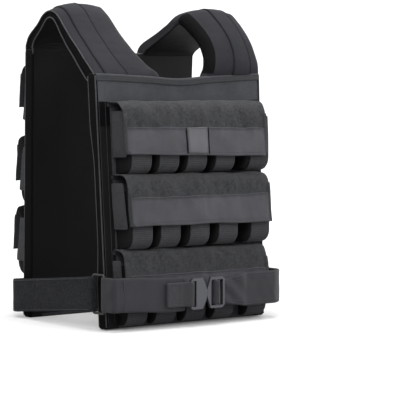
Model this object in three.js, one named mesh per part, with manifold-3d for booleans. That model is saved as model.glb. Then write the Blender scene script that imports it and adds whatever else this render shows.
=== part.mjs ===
// Weighted vest: two padded panels, shoulder straps, six rows of flapped
// pockets and a buckled belt. Millimetres, +Z up, the front faces -Y and the
// wearer's right is -X. Heights are measured from the hem of the front
// pockets; the whole model is then lowered so that the origin lies under the
// shoulder straps, where the vest sits on its wearer.
import * as THREE from 'three';
import { mergeVertices } from 'three/addons/utils/BufferGeometryUtils.js';
import Module from 'manifold-3d';

const wasm = await Module();
wasm.setup();

// Driving dimensions: panels
const panel_half_width = 176;
const panel_thickness = 22;
const chest_depth = 168;
const front_top = 417;
const front_lean = 22;
const back_top = 458;
const back_lean = 20;
const hem_taper = 6;
const back_bottom = -6;
const front_bottom = -2;
const shoulder_height = 519;
const gap = 0.3;

// Driving dimensions: pockets and flaps
const columns = 5;
const pocket_width = 46;
const pocket_depth = 44;
const pressed_depth = 32;
const pocket_height = 104;
const pocket_wall = 2;
const pocket_round = 20;
const rim_drop = 11;
const band_width = 42;
const band_thickness = 1.4;
const tab_thickness = 1.5;
const tab_height = 78;
const tab_margin = 4;
const flap_thickness = 2;
const satin_thickness = 0.8;
const flap_rise = 17;
const flap_end = 5;
const front_flap_length = 89;
const back_flap_length = 81;
const row_clearance = 4;
const row_step = pocket_height + flap_rise + row_clearance;
const front_row_low = 4;
const back_row_low = 67;
const tight = pocket_width + 14;
const spacing = { front: [tight, tight + 1.5, tight + 2.5], back: [tight + 3, tight + 5, tight + 6.5] };

// The rows from the top down. The belt presses the lowest front row flat.
const front_rows = spacing.front.map((pitch, i) => (
  { bottom: front_row_low + (2 - i) * row_step, pitch, depth: i === 2 ? pressed_depth : pocket_depth }
));
const back_rows = spacing.back.map((pitch, i) => (
  { bottom: back_row_low + (2 - i) * row_step, pitch, depth: pocket_depth }
));

// Driving dimensions: shoulder straps
const strap_puff = 4;
const strap_webbing_width = 38;
const strap_webbing_thickness = 1.8;
const strap_webbing_lift = 0.7;

// Driving dimensions: belt, buckle and side straps
const belt_height = 58;
const belt_thickness = 3;
const belt_low = 22;
const side_strap_drop = 18;
const side_strap_stand = 11;
const webbing_height = 42;
const webbing_thickness = 2;
const webbing_reach = 47;
const ring_wire = 4;
const ring_width = 30;
const ring_clearance = 1;
const ring_height = belt_height + 2 * (ring_wire + ring_clearance);
const buckle_height = 53;
const buckle_thickness = 5;
const buckle_bar = 4;
const slot_height = 44;
const buckle_start = -30;
const buckle_split = 4;
const buckle_middle_bar = 24;
const buckle_end = 42;
const patch_width = 44;
const patch_height = 40;
const patch_thickness = 1.5;
const patch_middle = 0;

// Faces that other pieces sit on
const inner_face = chest_depth / 2;
const outer_face = inner_face + panel_thickness;
const panel_middle = inner_face + panel_thickness / 2;

// Colours
const canvas_look = { color: 0x4a4c4f, roughness: 0.9, metalness: 0 };
const pocket_look = { color: 0x202124, roughness: 0.9, metalness: 0 };
const strap_look = { color: 0x4e4e52, roughness: 0.7, metalness: 0 };
const webbing_look = { color: 0x55575b, roughness: 0.75, metalness: 0 };
const belt_look = { color: 0x3e3f46, roughness: 0.7, metalness: 0 };
const loop_look = { color: 0x303235, roughness: 1.0, metalness: 0 };
const patch_look = { color: 0x77787c, roughness: 0.8, metalness: 0 };
const buckle_look = { color: 0x64646c, roughness: 0.35, metalness: 0.9 };
const ring_look = { color: 0x2c2d30, roughness: 0.4, metalness: 0.9 };

// A closed surface through sections of equally many points. The ends are
// capped, or the last section is joined to the first where it is a loop.
function loft(sections, loop = false) {
  const count = sections[0].length;
  const position = sections.flat().flatMap((p) => [p.x, p.y, p.z]);
  const index = [];
  const spans = loop ? sections.length : sections.length - 1;
  for (let i = 0; i < spans; i++) {
    const a = i * count;
    const b = ((i + 1) % sections.length) * count;
    for (let j = 0; j < count; j++) {
      const k = (j + 1) % count;
      index.push(a + j, a + k, b + k, a + j, b + k, b + j);
    }
  }
  if (!loop) {
    capSection(sections[0], 0, index, true);
    capSection(sections.at(-1), (sections.length - 1) * count, index, false);
  }
  return closedGeometry(position, index);
}

// The triangles that close one end of a loft, seen along the section's
// own normal.
function capSection(section, first, index, flip) {
  const normal = new THREE.Vector3();
  section.forEach((p, i) => {
    const q = section[(i + 1) % section.length];
    normal.x += (p.y - q.y) * (p.z + q.z);
    normal.y += (p.z - q.z) * (p.x + q.x);
    normal.z += (p.x - q.x) * (p.y + q.y);
  });
  normal.normalize();
  const helper = Math.abs(normal.z) < 0.7 ? new THREE.Vector3(0, 0, 1) : new THREE.Vector3(1, 0, 0);
  const across = new THREE.Vector3().crossVectors(helper, normal).normalize();
  const up = new THREE.Vector3().crossVectors(normal, across);
  const flat = section.map((p) => new THREE.Vector2(p.dot(across), p.dot(up)));
  for (const [a, b, c] of THREE.ShapeUtils.triangulateShape(flat, [])) {
    index.push(first + a, first + (flip ? c : b), first + (flip ? b : c));
  }
}

// A geometry whose faces point out, whichever way its points ran.
function closedGeometry(position, index) {
  let volume = 0;
  const point = (i) => new THREE.Vector3().fromArray(position, index[i] * 3);
  for (let i = 0; i < index.length; i += 3) {
    volume += point(i).dot(new THREE.Vector3().crossVectors(point(i + 1), point(i + 2)));
  }
  if (volume < 0) {
    for (let i = 0; i < index.length; i += 3) {
      [index[i + 1], index[i + 2]] = [index[i + 2], index[i + 1]];
    }
  }
  const geometry = new THREE.BufferGeometry();
  geometry.setAttribute('position', new THREE.Float32BufferAttribute(position, 3));
  geometry.setIndex(index);
  return geometry;
}

// A solid for joins and cuts, and the way back to a geometry.
function toSolid(geometry) {
  const welded = mergeVertices(geometry, 1e-4);
  const mesh = new wasm.Mesh({
    numProp: 3,
    vertProperties: new Float32Array(welded.attributes.position.array),
    triVerts: new Uint32Array(welded.index.array),
  });
  return new wasm.Manifold(mesh);
}

function toGeometry(solid) {
  const mesh = solid.getMesh();
  const geometry = new THREE.BufferGeometry();
  geometry.setAttribute('position', new THREE.Float32BufferAttribute(mesh.vertProperties, 3));
  geometry.setIndex([...mesh.triVerts]);
  return geometry;
}

// A profile of [y, z] points carried along X from one place to another.
function alongX(profile, from, to) {
  return loft([from, to].map((x) => profile.map(([y, z]) => new THREE.Vector3(x, y, z))));
}

function box(low, high) {
  const size = high.map((value, i) => value - low[i]);
  const geometry = new THREE.BoxGeometry(...size);
  geometry.deleteAttribute('normal');
  geometry.deleteAttribute('uv');
  return geometry.translate(...high.map((value, i) => (value + low[i]) / 2));
}

const root = new THREE.Group();
root.position.z = -shoulder_height;

// Each panel and all that is sewn to it lean outward from its top edge.
function leaning(side, top, lean) {
  const hinge = new THREE.Group();
  hinge.position.set(0, side * panel_middle, top);
  hinge.rotation.x = side * Math.atan(lean / top);
  root.add(hinge);
  const group = new THREE.Group();
  group.position.set(0, -side * panel_middle, -top);
  hinge.add(group);
  return group;
}

const front = leaning(-1, front_top, front_lean);
const back = leaning(1, back_top, back_lean);

function add(name, geometry, look, parent = root) {
  const mesh = new THREE.Mesh(geometry, new THREE.MeshStandardMaterial(look));
  mesh.name = name;
  parent.add(mesh);
}

// Panels. A row gives a place across the panel as a share of its half width,
// how far the edges draw in from the hem and the top as shares of the
// thickness, and the thickness there as a share of the whole.
const panel_stations = [
  { across: 1.0, low: 0.75, high: 0.35, thick: 0.4 },
  { across: 0.985, low: 0.3, high: 0.12, thick: 0.72 },
  { across: 0.95, low: 0.05, high: 0.0, thick: 0.94 },
  { across: 0.88, low: 0.0, high: 0.0, thick: 1.0 },
  { across: 0.4, low: 0.0, high: 0.02, thick: 1.0 },
  { across: 0.0, low: 0.0, high: 0.2, thick: 1.0 },
];
const panel_edge_steps = 4;

function panel(side, bottom, top) {
  const rows = [
    ...panel_stations.map((row) => ({ ...row, across: -row.across })),
    ...panel_stations.slice(0, -1).reverse(),
  ];
  return loft(rows.map((row) => {
    const wide = (z) => panel_half_width - hem_taper * (1 - z / top);
    const half = (row.thick * panel_thickness) / 2;
    const low = bottom + row.low * panel_thickness;
    const high = top - row.high * panel_thickness;
    const section = [];
    for (const [centre, start] of [[high - half, 0], [low + half, Math.PI]]) {
      for (let i = 0; i <= panel_edge_steps; i++) {
        const angle = start + (Math.PI * i) / panel_edge_steps;
        const y = side * (panel_middle + half * Math.cos(angle));
        const z = centre + half * Math.sin(angle);
        section.push(new THREE.Vector3(row.across * wide(z), y, z));
      }
    }
    return section;
  }));
}

add('panel_front', panel(-1, front_bottom, front_top), canvas_look, front);
add('panel_back', panel(1, back_bottom, back_top), canvas_look, back);

// Shoulder straps. A row gives the middle of the padding from the side, with
// y as a share of the distance from the middle of the vest to the middle of a
// panel, the rise above the front panel's top as a share of the rise of the
// crest, the inner edge as a share of the half width and the thickness as a
// share of the panel's. The last three are shares of that thickness too: how
// much higher and further back the inner edge lies than the outer one, and
// how far the strap arches across its width.
const crest_rise = 113;
const strap_right_stations = [
  { y: -1.0, rise: 0.0, inner: 0.21, thick: 1.0, lift: 0.0, skew: 0.0, arch: 0.0 },
  { y: -0.86, rise: 0.065, inner: 0.28, thick: 1.0, lift: 0.0, skew: 0.0, arch: 0.05 },
  { y: -0.64, rise: 0.24, inner: 0.35, thick: 0.95, lift: 0.0, skew: 0.0, arch: 0.1 },
  { y: -0.42, rise: 0.4, inner: 0.36, thick: 0.9, lift: -0.1, skew: 0.0, arch: 0.15 },
  { y: -0.17, rise: 0.585, inner: 0.36, thick: 0.82, lift: -0.15, skew: 0.1, arch: 0.2 },
  { y: 0.03, rise: 0.76, inner: 0.36, thick: 0.7, lift: -0.15, skew: 0.2, arch: 0.25 },
  { y: 0.2, rise: 0.9, inner: 0.36, thick: 0.6, lift: 0.0, skew: 0.4, arch: 0.3 },
  { y: 0.42, rise: 0.985, inner: 0.36, thick: 0.55, lift: 0.4, skew: 0.7, arch: 0.3 },
  { y: 0.58, rise: 0.905, inner: 0.36, thick: 0.6, lift: 0.15, skew: 0.6, arch: 0.28 },
  { y: 0.75, rise: 0.75, inner: 0.355, thick: 0.65, lift: 0.1, skew: 0.4, arch: 0.22 },
  { y: 0.89, rise: 0.63, inner: 0.35, thick: 0.75, lift: 0.05, skew: 0.15, arch: 0.15 },
  { y: 0.97, rise: 0.545, inner: 0.33, thick: 0.85, lift: 0.0, skew: 0.0, arch: 0.08 },
  { y: 1.01, rise: 0.45, inner: 0.31, thick: 0.92, lift: 0.0, skew: 0.0, arch: 0.0 },
];
const strap_left_stations = [
  { y: -1.0, rise: 0.0, inner: 0.33, thick: 1.0, lift: 0.0, skew: 0.0, arch: 0.0 },
  { y: -0.98, rise: 0.13, inner: 0.38, thick: 1.0, lift: 0.0, skew: 0.0, arch: 0.05 },
  { y: -0.9, rise: 0.31, inner: 0.42, thick: 0.95, lift: 0.0, skew: 0.0, arch: 0.1 },
  { y: -0.77, rise: 0.495, inner: 0.43, thick: 0.92, lift: 0.0, skew: 0.0, arch: 0.15 },
  { y: -0.6, rise: 0.65, inner: 0.42, thick: 0.9, lift: -0.1, skew: 0.0, arch: 0.2 },
  { y: -0.42, rise: 0.78, inner: 0.4, thick: 0.9, lift: -0.1, skew: 0.0, arch: 0.25 },
  { y: -0.23, rise: 0.89, inner: 0.38, thick: 0.85, lift: -0.15, skew: 0.0, arch: 0.3 },
  { y: -0.06, rise: 0.86, inner: 0.37, thick: 0.75, lift: -0.1, skew: 0.0, arch: 0.3 },
  { y: 0.15, rise: 0.755, inner: 0.37, thick: 0.7, lift: 0.0, skew: 0.0, arch: 0.25 },
  { y: 0.42, rise: 0.64, inner: 0.365, thick: 0.7, lift: 0.0, skew: 0.0, arch: 0.15 },
  { y: 0.68, rise: 0.54, inner: 0.36, thick: 0.75, lift: 0.0, skew: 0.0, arch: 0.08 },
  { y: 0.89, rise: 0.455, inner: 0.355, thick: 0.85, lift: 0.0, skew: 0.0, arch: 0.0 },
];
const strap_outer = 0.99;
const strap_band_middle = 0.64;

// The frame of each station along a strap: its middle, the way out of the
// padding, and its edges. The two ends stand upright on the panels.
function strapFrames(stations) {
  const middles = stations.map((row) => new THREE.Vector2(
    row.y * panel_middle,
    front_top + row.rise * crest_rise,
  ));
  const last = new THREE.Vector2(panel_middle, back_top);
  middles.push(last);
  return middles.map((middle, i) => {
    const isLast = i === stations.length;
    const row = isLast ? { ...stations[i - 1], thick: 1, lift: 0, skew: 0, arch: 0 } : stations[i];
    const before = middles[Math.max(i - 1, 0)];
    const after = middles[Math.min(i + 1, middles.length - 1)];
    const way = after.clone().sub(before).normalize();
    let out = new THREE.Vector2(-way.y, way.x);
    if (i === 0) out = new THREE.Vector2(-1, 0);
    if (isLast) out = new THREE.Vector2(1, 0);
    return { middle, out, row, first: i === 0, last: isLast };
  });
}

// A point of a strap: across runs from 0 at the neck to 1 at the shoulder's
// outside, and side is 1 on the outer face, -1 on the lining, with a lift
// above that face.
function strapPoint(frame, hand, across, side, lift = 0) {
  const { row } = frame;
  const inner = row.inner * panel_half_width;
  const outer = strap_outer * panel_half_width;
  const x = inner + (outer - inner) * across;
  const crown = 1 - (2 * across - 1) ** 2;
  const ends = frame.first || frame.last ? 0 : 1;
  const half = (row.thick * panel_thickness + ends * strap_puff * Math.sqrt(crown)) / 2;
  const out = side * half + row.arch * panel_thickness * crown + lift;
  const toward = (0.5 - across) * panel_thickness;
  const y = frame.middle.x + frame.out.x * out + row.skew * toward;
  let z = frame.middle.y + frame.out.y * out + row.lift * toward;
  if (frame.first) z = front_top + gap;
  if (frame.last) z = back_top + gap;
  return new THREE.Vector3(hand * x, y, z);
}

function strapBandEdges() {
  const width = panel_half_width * (strap_outer - 0.37);
  const half = strap_webbing_width / width / 2;
  return [strap_band_middle - half, strap_band_middle, strap_band_middle + half];
}

function strap(hand, stations) {
  const top = [0, 0.08, 0.22, ...strapBandEdges(), 0.92, 1];
  const under = [1, 0.9, 0.5, 0.1, 0];
  return loft(strapFrames(stations).map((frame) => [
    ...top.map((across) => strapPoint(frame, hand, across, 1)),
    ...under.map((across) => strapPoint(frame, hand, across, -1)),
  ]));
}

function strapWebbing(hand, stations) {
  const frames = strapFrames(stations).slice(1, -1);
  const edges = strapBandEdges();
  const top = strap_webbing_lift + strap_webbing_thickness;
  return loft(frames.map((frame) => [
    ...edges.map((across) => strapPoint(frame, hand, across, 1, top)),
    ...[...edges].reverse().map((across) => strapPoint(frame, hand, across, 1, strap_webbing_lift)),
  ]));
}

add('strap_right', strap(-1, strap_right_stations), strap_look);
add('strap_left', strap(1, strap_left_stations), strap_look);
add('strap_webbing_right', strapWebbing(-1, strap_right_stations), webbing_look);
add('strap_webbing_left', strapWebbing(1, strap_left_stations), webbing_look);

// Pockets: open at the top and sewn to the panel by their side walls, with a
// webbing band down the front and round the bottom. The side outline starts
// at the panel, with its bottom rounded by arc_steps.
const arc_steps = 4;

function pocketOutline(side, row, grow, start, rim) {
  const { bottom } = row;
  const depth = row.depth + grow;
  const round = pocket_round + grow;
  const points = [[start, bottom - grow]];
  for (let i = 0; i <= arc_steps; i++) {
    const angle = (Math.PI / 2) * (i / arc_steps);
    const out = depth - round + round * Math.sin(angle);
    points.push([out, bottom - grow + round * (1 - Math.cos(angle))]);
  }
  points.push([depth, bottom + pocket_height + rim - rim_drop]);
  points.push([start, bottom + pocket_height + rim]);
  return points.map(([out, z]) => [side * (outer_face + out), z]);
}

function pocket(side, row, column) {
  const { bottom, pitch } = row;
  const middle = (column - (columns - 1) / 2) * pitch;
  const cloth = pocketOutline(side, row, 0, gap, 0);
  const webbing = pocketOutline(side, row, band_thickness, gap, 0);
  const hollow = pocketOutline(side, row, -pocket_wall, -gap, pocket_height);
  const half = pocket_width / 2;
  const inside = half - pocket_wall;
  let solid = toSolid(alongX(cloth, middle - half, middle + half));
  solid = solid.add(toSolid(alongX(webbing, middle - band_width / 2, middle + band_width / 2)));
  const end = column === 0 ? -1 : column === columns - 1 ? 1 : 0;
  if (end) {
    const face = middle + end * half;
    const ys = [side * (outer_face + tab_margin), side * (outer_face + row.depth - tab_margin)];
    const top = bottom + pocket_height - rim_drop;
    const low = [Math.min(face - end, face + end * tab_thickness), Math.min(...ys), top - tab_height];
    const high = [Math.max(face - end, face + end * tab_thickness), Math.max(...ys), top];
    solid = solid.add(toSolid(box(low, high)));
  }
  return toGeometry(solid.subtract(toSolid(alongX(hollow, middle - inside, middle + inside))));
}

// Flaps. A row gives a point of the cloth's middle from the side: its way out
// from the panel as a share of the pocket's depth, and its way down from the
// flap's top as a share of the flap's length. Satin marks the smooth band.
const flap_clearance = 3;
const flap_course = [
  { out: 0.0, down: 0.08, satin: 0 },
  { out: 0.03, down: 0.01, satin: 0 },
  { out: 0.3, down: 0.0, satin: 0 },
  { out: 0.68, down: 0.02, satin: 0 },
  { out: 0.88, down: 0.09, satin: 0 },
  { out: 0.98, down: 0.22, satin: 0 },
  { out: 1.01, down: 0.47, satin: 0 },
  { out: 1.015, down: 0.48, satin: 1 },
  { out: 1.08, down: 1.0, satin: 1 },
];

// A flap reaches a little past the end pockets of its row.
function flapHalfWidth(pitch) {
  return ((columns - 1) / 2) * pitch + pocket_width / 2 + flap_end;
}

function flapMiddle(top, depth, length) {
  const reach = depth + band_thickness + flap_clearance;
  return flap_course.map((row) => new THREE.Vector2(
    gap + flap_thickness / 2 + row.out * (reach - flap_thickness),
    top - row.down * length,
  ));
}

// The side outline of a strip of cloth along a course of points.
function stripOutline(course, outside, inside) {
  const offset = (amounts) => course.map((point, i) => {
    const before = course[Math.max(i - 1, 0)];
    const after = course[Math.min(i + 1, course.length - 1)];
    const way = after.clone().sub(before).normalize();
    return new THREE.Vector2(-way.y, way.x).multiplyScalar(amounts[i]).add(point);
  });
  return [...offset(outside), ...offset(inside).reverse()];
}

function flap(side, { bottom, pitch, depth }, length) {
  const top = bottom + pocket_height + flap_rise;
  const half_width = flapHalfWidth(pitch);
  const half = flap_thickness / 2;
  const outside = flap_course.map((row) => half + row.satin * satin_thickness);
  const inside = flap_course.map(() => -half);
  const outline = stripOutline(flapMiddle(top, depth, length), outside, inside);
  const profile = outline.map((point) => [side * (outer_face + Math.max(point.x, gap)), point.y]);
  return alongX(profile, -half_width, half_width);
}

const faces = [
  { name: 'front', side: -1, rows: front_rows, length: front_flap_length, parent: front },
  { name: 'back', side: 1, rows: back_rows, length: back_flap_length, parent: back },
];
for (const { name, side, rows, length, parent } of faces) {
  rows.forEach((row, i) => {
    add(`flap_${name}_${i + 1}`, flap(side, row, length), canvas_look, parent);
    for (let column = 0; column < columns; column++) {
      const label = `pocket_${name}_${i + 1}_${column + 1}`;
      add(label, pocket(side, row, column), pocket_look, parent);
    }
  });
}

// The bare patch lies on the satin band of the top front flap.
function patch() {
  const [{ bottom, depth }] = front_rows;
  const top = bottom + pocket_height + flap_rise;
  const [high, low] = flapMiddle(top, depth, front_flap_length).slice(-2);
  const down = low.clone().sub(high).normalize();
  const out = new THREE.Vector2(-down.y, down.x);
  const seat = flap_thickness / 2 + satin_thickness + gap;
  const middle = high.clone().add(low).multiplyScalar(0.5);
  const corner = (along, rise) => {
    const point = middle.clone().addScaledVector(down, along).addScaledVector(out, rise);
    return [-(outer_face + point.x), point.y];
  };
  const half = patch_height / 2;
  const profile = [
    corner(-half, seat),
    corner(half, seat),
    corner(half, seat + patch_thickness),
    corner(-half, seat + patch_thickness),
  ];
  return alongX(profile, patch_middle - patch_width / 2, patch_middle + patch_width / 2);
}

add('patch', patch(), patch_look, front);

// A band that stands on edge: a course of points in plan, each with its
// lower edge and its height, and a thickness.
function standingBand(course, thickness) {
  const plan = course.map((row) => new THREE.Vector2(row.x, row.y));
  return loft(plan.map((point, i) => {
    const before = plan[Math.max(i - 1, 0)];
    const after = plan[Math.min(i + 1, plan.length - 1)];
    const way = after.clone().sub(before).normalize();
    const out = new THREE.Vector2(-way.y, way.x).multiplyScalar(thickness / 2);
    const { low, height } = course[i];
    return [
      new THREE.Vector3(point.x + out.x, point.y + out.y, low),
      new THREE.Vector3(point.x + out.x, point.y + out.y, low + height),
      new THREE.Vector3(point.x - out.x, point.y - out.y, low + height),
      new THREE.Vector3(point.x - out.x, point.y - out.y, low),
    ];
  }));
}

// The turn of a band half way round an upright bar, from its outer face to
// its inner one.
const turn_steps = 6;

function barTurn(bar, toward, outward, radius) {
  const points = [];
  for (let i = 0; i <= turn_steps; i++) {
    const angle = (Math.PI * i) / turn_steps;
    points.push(bar.clone()
      .addScaledVector(outward, radius * Math.cos(angle))
      .addScaledVector(toward, radius * Math.sin(angle)));
  }
  return points;
}

// The turn round a ring's bar and the short end sewn under the outer layer.
const turn_clearance = 0.5;
const ring_turn = ring_wire / 2 + turn_clearance + belt_thickness / 2;
const sewn_from = 13;
const sewn_to = 22;

function ringTurn(bar, toward, outward) {
  const inner = ring_turn - belt_thickness - gap;
  const under = (back) => bar.clone().addScaledVector(outward, inner).addScaledVector(toward, -back);
  return [...barTurn(bar, toward, outward, ring_turn), under(sewn_from), under(sewn_to)];
}

// A point beside a ring's bar on the band's outer layer.
function besideBar(bar, toward, outward, back) {
  return bar.clone().addScaledVector(outward, ring_turn).addScaledVector(toward, -back);
}

// The direction across a band that points away from the wearer.
function outwardOf(toward, sign) {
  const across = new THREE.Vector2(-toward.y, toward.x);
  return across.multiplyScalar(Math.sign(across.x) === sign ? 1 : -1);
}

// The rings stand at the sides: a front bar for the belt, a back bar for the
// side strap. A row gives the front bar's place out from the panel's edge and
// forward of its face, and the turn of the ring's plane in degrees.
const ring_right = { sign: -1, aside: 5, ahead: 32, turn: 10 };
const ring_left = { sign: 1, aside: 13, ahead: 20, turn: 4 };
const ring_spread = ring_width - ring_wire;

function ringBars({ sign, aside, ahead, turn }) {
  const front = new THREE.Vector2(sign * (panel_half_width + aside), -(outer_face + ahead));
  const angle = THREE.MathUtils.degToRad(turn);
  const toward = new THREE.Vector2(sign * Math.sin(angle), Math.cos(angle));
  return { front, toward, back: front.clone().addScaledVector(toward, ring_spread) };
}

function ring(place) {
  const { front, back } = ringBars(place);
  const across = back.clone().sub(front).normalize();
  const middle = front.clone().add(back).multiplyScalar(0.5);
  const half = new THREE.Vector2(ring_spread / 2, (ring_height - ring_wire) / 2);
  const base = belt_low + belt_height / 2;
  const wire = ring_wire / 2;
  const sections = [];
  for (const [u, v, start] of [[1, 1, 0], [-1, 1, 90], [-1, -1, 180], [1, -1, 270]]) {
    for (const step of [0, 45, 90]) {
      const angle = THREE.MathUtils.degToRad(start + step);
      const away = u * (half.x - ring_wire) + ring_wire * Math.cos(angle);
      const lift = v * (half.y - ring_wire) + ring_wire * Math.sin(angle);
      sections.push([0, 1, 2, 3, 4, 5].map((corner) => {
        const spin = (Math.PI * corner) / 3;
        const out = away + wire * Math.cos(spin) * Math.cos(angle);
        const aside = wire * Math.sin(spin);
        return new THREE.Vector3(
          middle.x + across.x * out - across.y * aside,
          middle.y + across.y * out + across.x * aside,
          base + lift + wire * Math.cos(spin) * Math.sin(angle),
        );
      }));
    }
  }
  return loft(sections, true);
}

add('ring_right', ring(ring_right), ring_look);
add('ring_left', ring(ring_left), ring_look);

// Where the belt lies: against the lowest front flap, which leans forward.
const low_row = front_rows.at(-1);
const flap_half_width = flapHalfWidth(low_row.pitch);
root.updateMatrixWorld(true);
const low_flap = new THREE.Box3().setFromObject(front.getObjectByName('flap_front_3'), true);
const belt_line = low_flap.min.y - gap - belt_thickness / 2;
const belt_over = belt_thickness + gap;
const buckle_back = belt_line - belt_thickness / 2 - belt_over - gap;
const buckle_middle = buckle_back - buckle_thickness / 2;
const buckle_height_middle = belt_low + belt_height / 2;

// The belt from the buckle round the front corner to a ring.
function beltToRing(place) {
  const { front, toward } = ringBars(place);
  const outward = outwardOf(toward, place.sign);
  const bend = besideBar(front, toward, outward, 26);
  return [
    new THREE.Vector2(place.sign * flap_half_width, belt_line),
    new THREE.Vector2(place.sign * flap_half_width * 0.72 + bend.x * 0.28, belt_line + 0.6),
    new THREE.Vector2(place.sign * flap_half_width * 0.35 + bend.x * 0.65, belt_line * 0.6 + bend.y * 0.4),
    bend,
    besideBar(front, toward, outward, 8),
    ...ringTurn(front, toward, outward),
  ];
}

function withHeight(points, low, height) {
  return points.map((point) => ({ x: point.x, y: point.y, low, height }));
}

function beltRight() {
  const start = new THREE.Vector2(buckle_start - 5, belt_line);
  const course = [start, ...beltToRing(ring_right)];
  return standingBand(withHeight(course, belt_low, belt_height), belt_thickness);
}

// The other stretch narrows to the buckle, passes behind its outer bar,
// wraps its middle bar and ends between the buckle and the flap.
const narrow_low = buckle_height_middle - webbing_height / 2;
const bar_half = Math.hypot(buckle_bar, buckle_thickness) / 2;
const belt_turn = bar_half + gap + belt_thickness / 2;

function beltLeft() {
  const bar = new THREE.Vector2(buckle_middle_bar, buckle_middle);
  const turn = barTurn(bar, new THREE.Vector2(-1, 0), new THREE.Vector2(0, 1), belt_turn);
  const over = belt_line - belt_over;
  const squeezed = [
    new THREE.Vector2(buckle_end + 37, belt_line),
    new THREE.Vector2(buckle_end + 2, belt_line),
    ...turn,
    new THREE.Vector2(buckle_middle_bar + 3, buckle_middle - belt_turn),
    new THREE.Vector2(buckle_end - buckle_bar - 2, over),
    new THREE.Vector2(buckle_end + 2, over),
  ];
  return standingBand([
    ...withHeight(squeezed, narrow_low, webbing_height),
    { x: buckle_end + 22, y: over, low: narrow_low - 3, height: webbing_height + 6 },
    { x: buckle_end + 42, y: over, low: narrow_low - 6, height: webbing_height + 12 },
    { x: buckle_end + 55, y: belt_line, low: belt_low, height: belt_height },
    ...withHeight(beltToRing(ring_left), belt_low, belt_height),
  ], belt_thickness);
}

add('belt_right', beltRight(), belt_look);
add('belt_left', beltLeft(), belt_look);

// The webbing that carries the buckle's other half lies doubled on the belt.
const webbing_turn = bar_half + gap + webbing_thickness / 2;

function buckleWebbing() {
  const lower = belt_line - belt_thickness / 2 - gap - webbing_thickness / 2;
  const upper = lower - webbing_thickness - gap;
  const bar = new THREE.Vector2(buckle_start + buckle_bar / 2, buckle_middle);
  const end = buckle_start - webbing_reach;
  const course = [
    new THREE.Vector2(end, lower),
    new THREE.Vector2(buckle_start - 8, lower),
    ...barTurn(bar, new THREE.Vector2(1, 0), new THREE.Vector2(0, 1), webbing_turn),
    new THREE.Vector2(buckle_start - 1, buckle_middle - webbing_turn),
    new THREE.Vector2(buckle_start - 12, upper),
    new THREE.Vector2(end, upper),
  ];
  return standingBand(withHeight(course, narrow_low, webbing_height), webbing_thickness);
}

add('buckle_webbing', buckleWebbing(), webbing_look);

// Side straps: from a ring's back bar along the side, round the back panel's
// edge and along its face, sloping down to the back.
function sideStrap(place) {
  const { sign } = place;
  const { back } = ringBars(place);
  const toward = new THREE.Vector2(0, -1);
  const outward = new THREE.Vector2(sign, 0);
  const lean = back_lean * (1 + (side_strap_drop - belt_low) / back_top);
  const face = outer_face + lean + gap + belt_thickness / 2;
  const side = panel_half_width + side_strap_stand;
  const course = [
    new THREE.Vector2(sign * 4, face),
    new THREE.Vector2(sign * panel_half_width * 0.62, face),
    new THREE.Vector2(sign * panel_half_width * 0.84, face + 3),
    new THREE.Vector2(sign * (panel_half_width + 3), face + 10),
    new THREE.Vector2(sign * (side - 3), face + 5),
    new THREE.Vector2(sign * side, face - 8),
    new THREE.Vector2(sign * (side + 1), panel_thickness),
    besideBar(back, toward, outward, 30),
    besideBar(back, toward, outward, 6),
    ...ringTurn(back, toward, outward),
  ];
  const front_y = back.y;
  return standingBand(course.map((point) => {
    const share = Math.min(Math.max((point.y - front_y) / (face - front_y), 0), 1);
    return { x: point.x, y: point.y, low: belt_low - side_strap_drop * share, height: belt_height };
  }), belt_thickness);
}

add('side_strap_right', sideStrap(ring_right), loop_look);
add('side_strap_left', sideStrap(ring_left), loop_look);

// Buckle: two flat metal halves that meet in the middle. An outline runs
// round each half; its openings are cut through.
function buckleHalf(outline, openings) {
  const front = buckle_back - buckle_thickness;
  const face = (y) => outline.map(([x, z]) => new THREE.Vector3(x, y, buckle_height_middle + z));
  let solid = toSolid(loft([face(buckle_back), face(front)]));
  const half = slot_height / 2;
  for (const [from, to] of openings) {
    const low = [from, front - gap, buckle_height_middle - half];
    const high = [to, buckle_back + gap, buckle_height_middle + half];
    solid = solid.subtract(toSolid(box(low, high)));
  }
  return toGeometry(solid);
}

function addBuckle() {
  const half = buckle_height / 2;
  const nose = buckle_split - gap;
  const tongue = [
    [buckle_start, -half + 4], [buckle_start + 4, -half], [nose - 9, -half], [nose - 2, -half * 0.5],
    [nose, -half * 0.2], [nose, half * 0.2], [nose - 2, half * 0.5], [nose - 9, half],
    [buckle_start + 4, half], [buckle_start, half - 4],
  ];
  const slot = [buckle_start + buckle_bar, buckle_start + buckle_bar + 7];
  add('buckle_tongue', buckleHalf(tongue, [slot]), buckle_look);
  const frame = [
    [buckle_split, -half * 0.2], [buckle_split + 8, -half], [buckle_end - 5, -half], [buckle_end, -half + 5],
    [buckle_end, half - 5], [buckle_end - 5, half], [buckle_split + 8, half], [buckle_split, half * 0.2],
  ];
  const openings = [
    [buckle_split + 9, buckle_middle_bar - buckle_bar / 2],
    [buckle_middle_bar + buckle_bar / 2, buckle_end - buckle_bar],
  ];
  add('buckle_frame', buckleHalf(frame, openings), buckle_look);
}

addBuckle();

export default root;
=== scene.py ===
# Weighted vest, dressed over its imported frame. Lengths are written in millimetres
# and heights are above a level 4 mm below the lowest front pockets; place() and
# stand() turn them into the row frame in metres.
import math

import bmesh
import bpy
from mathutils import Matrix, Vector, noise


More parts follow.
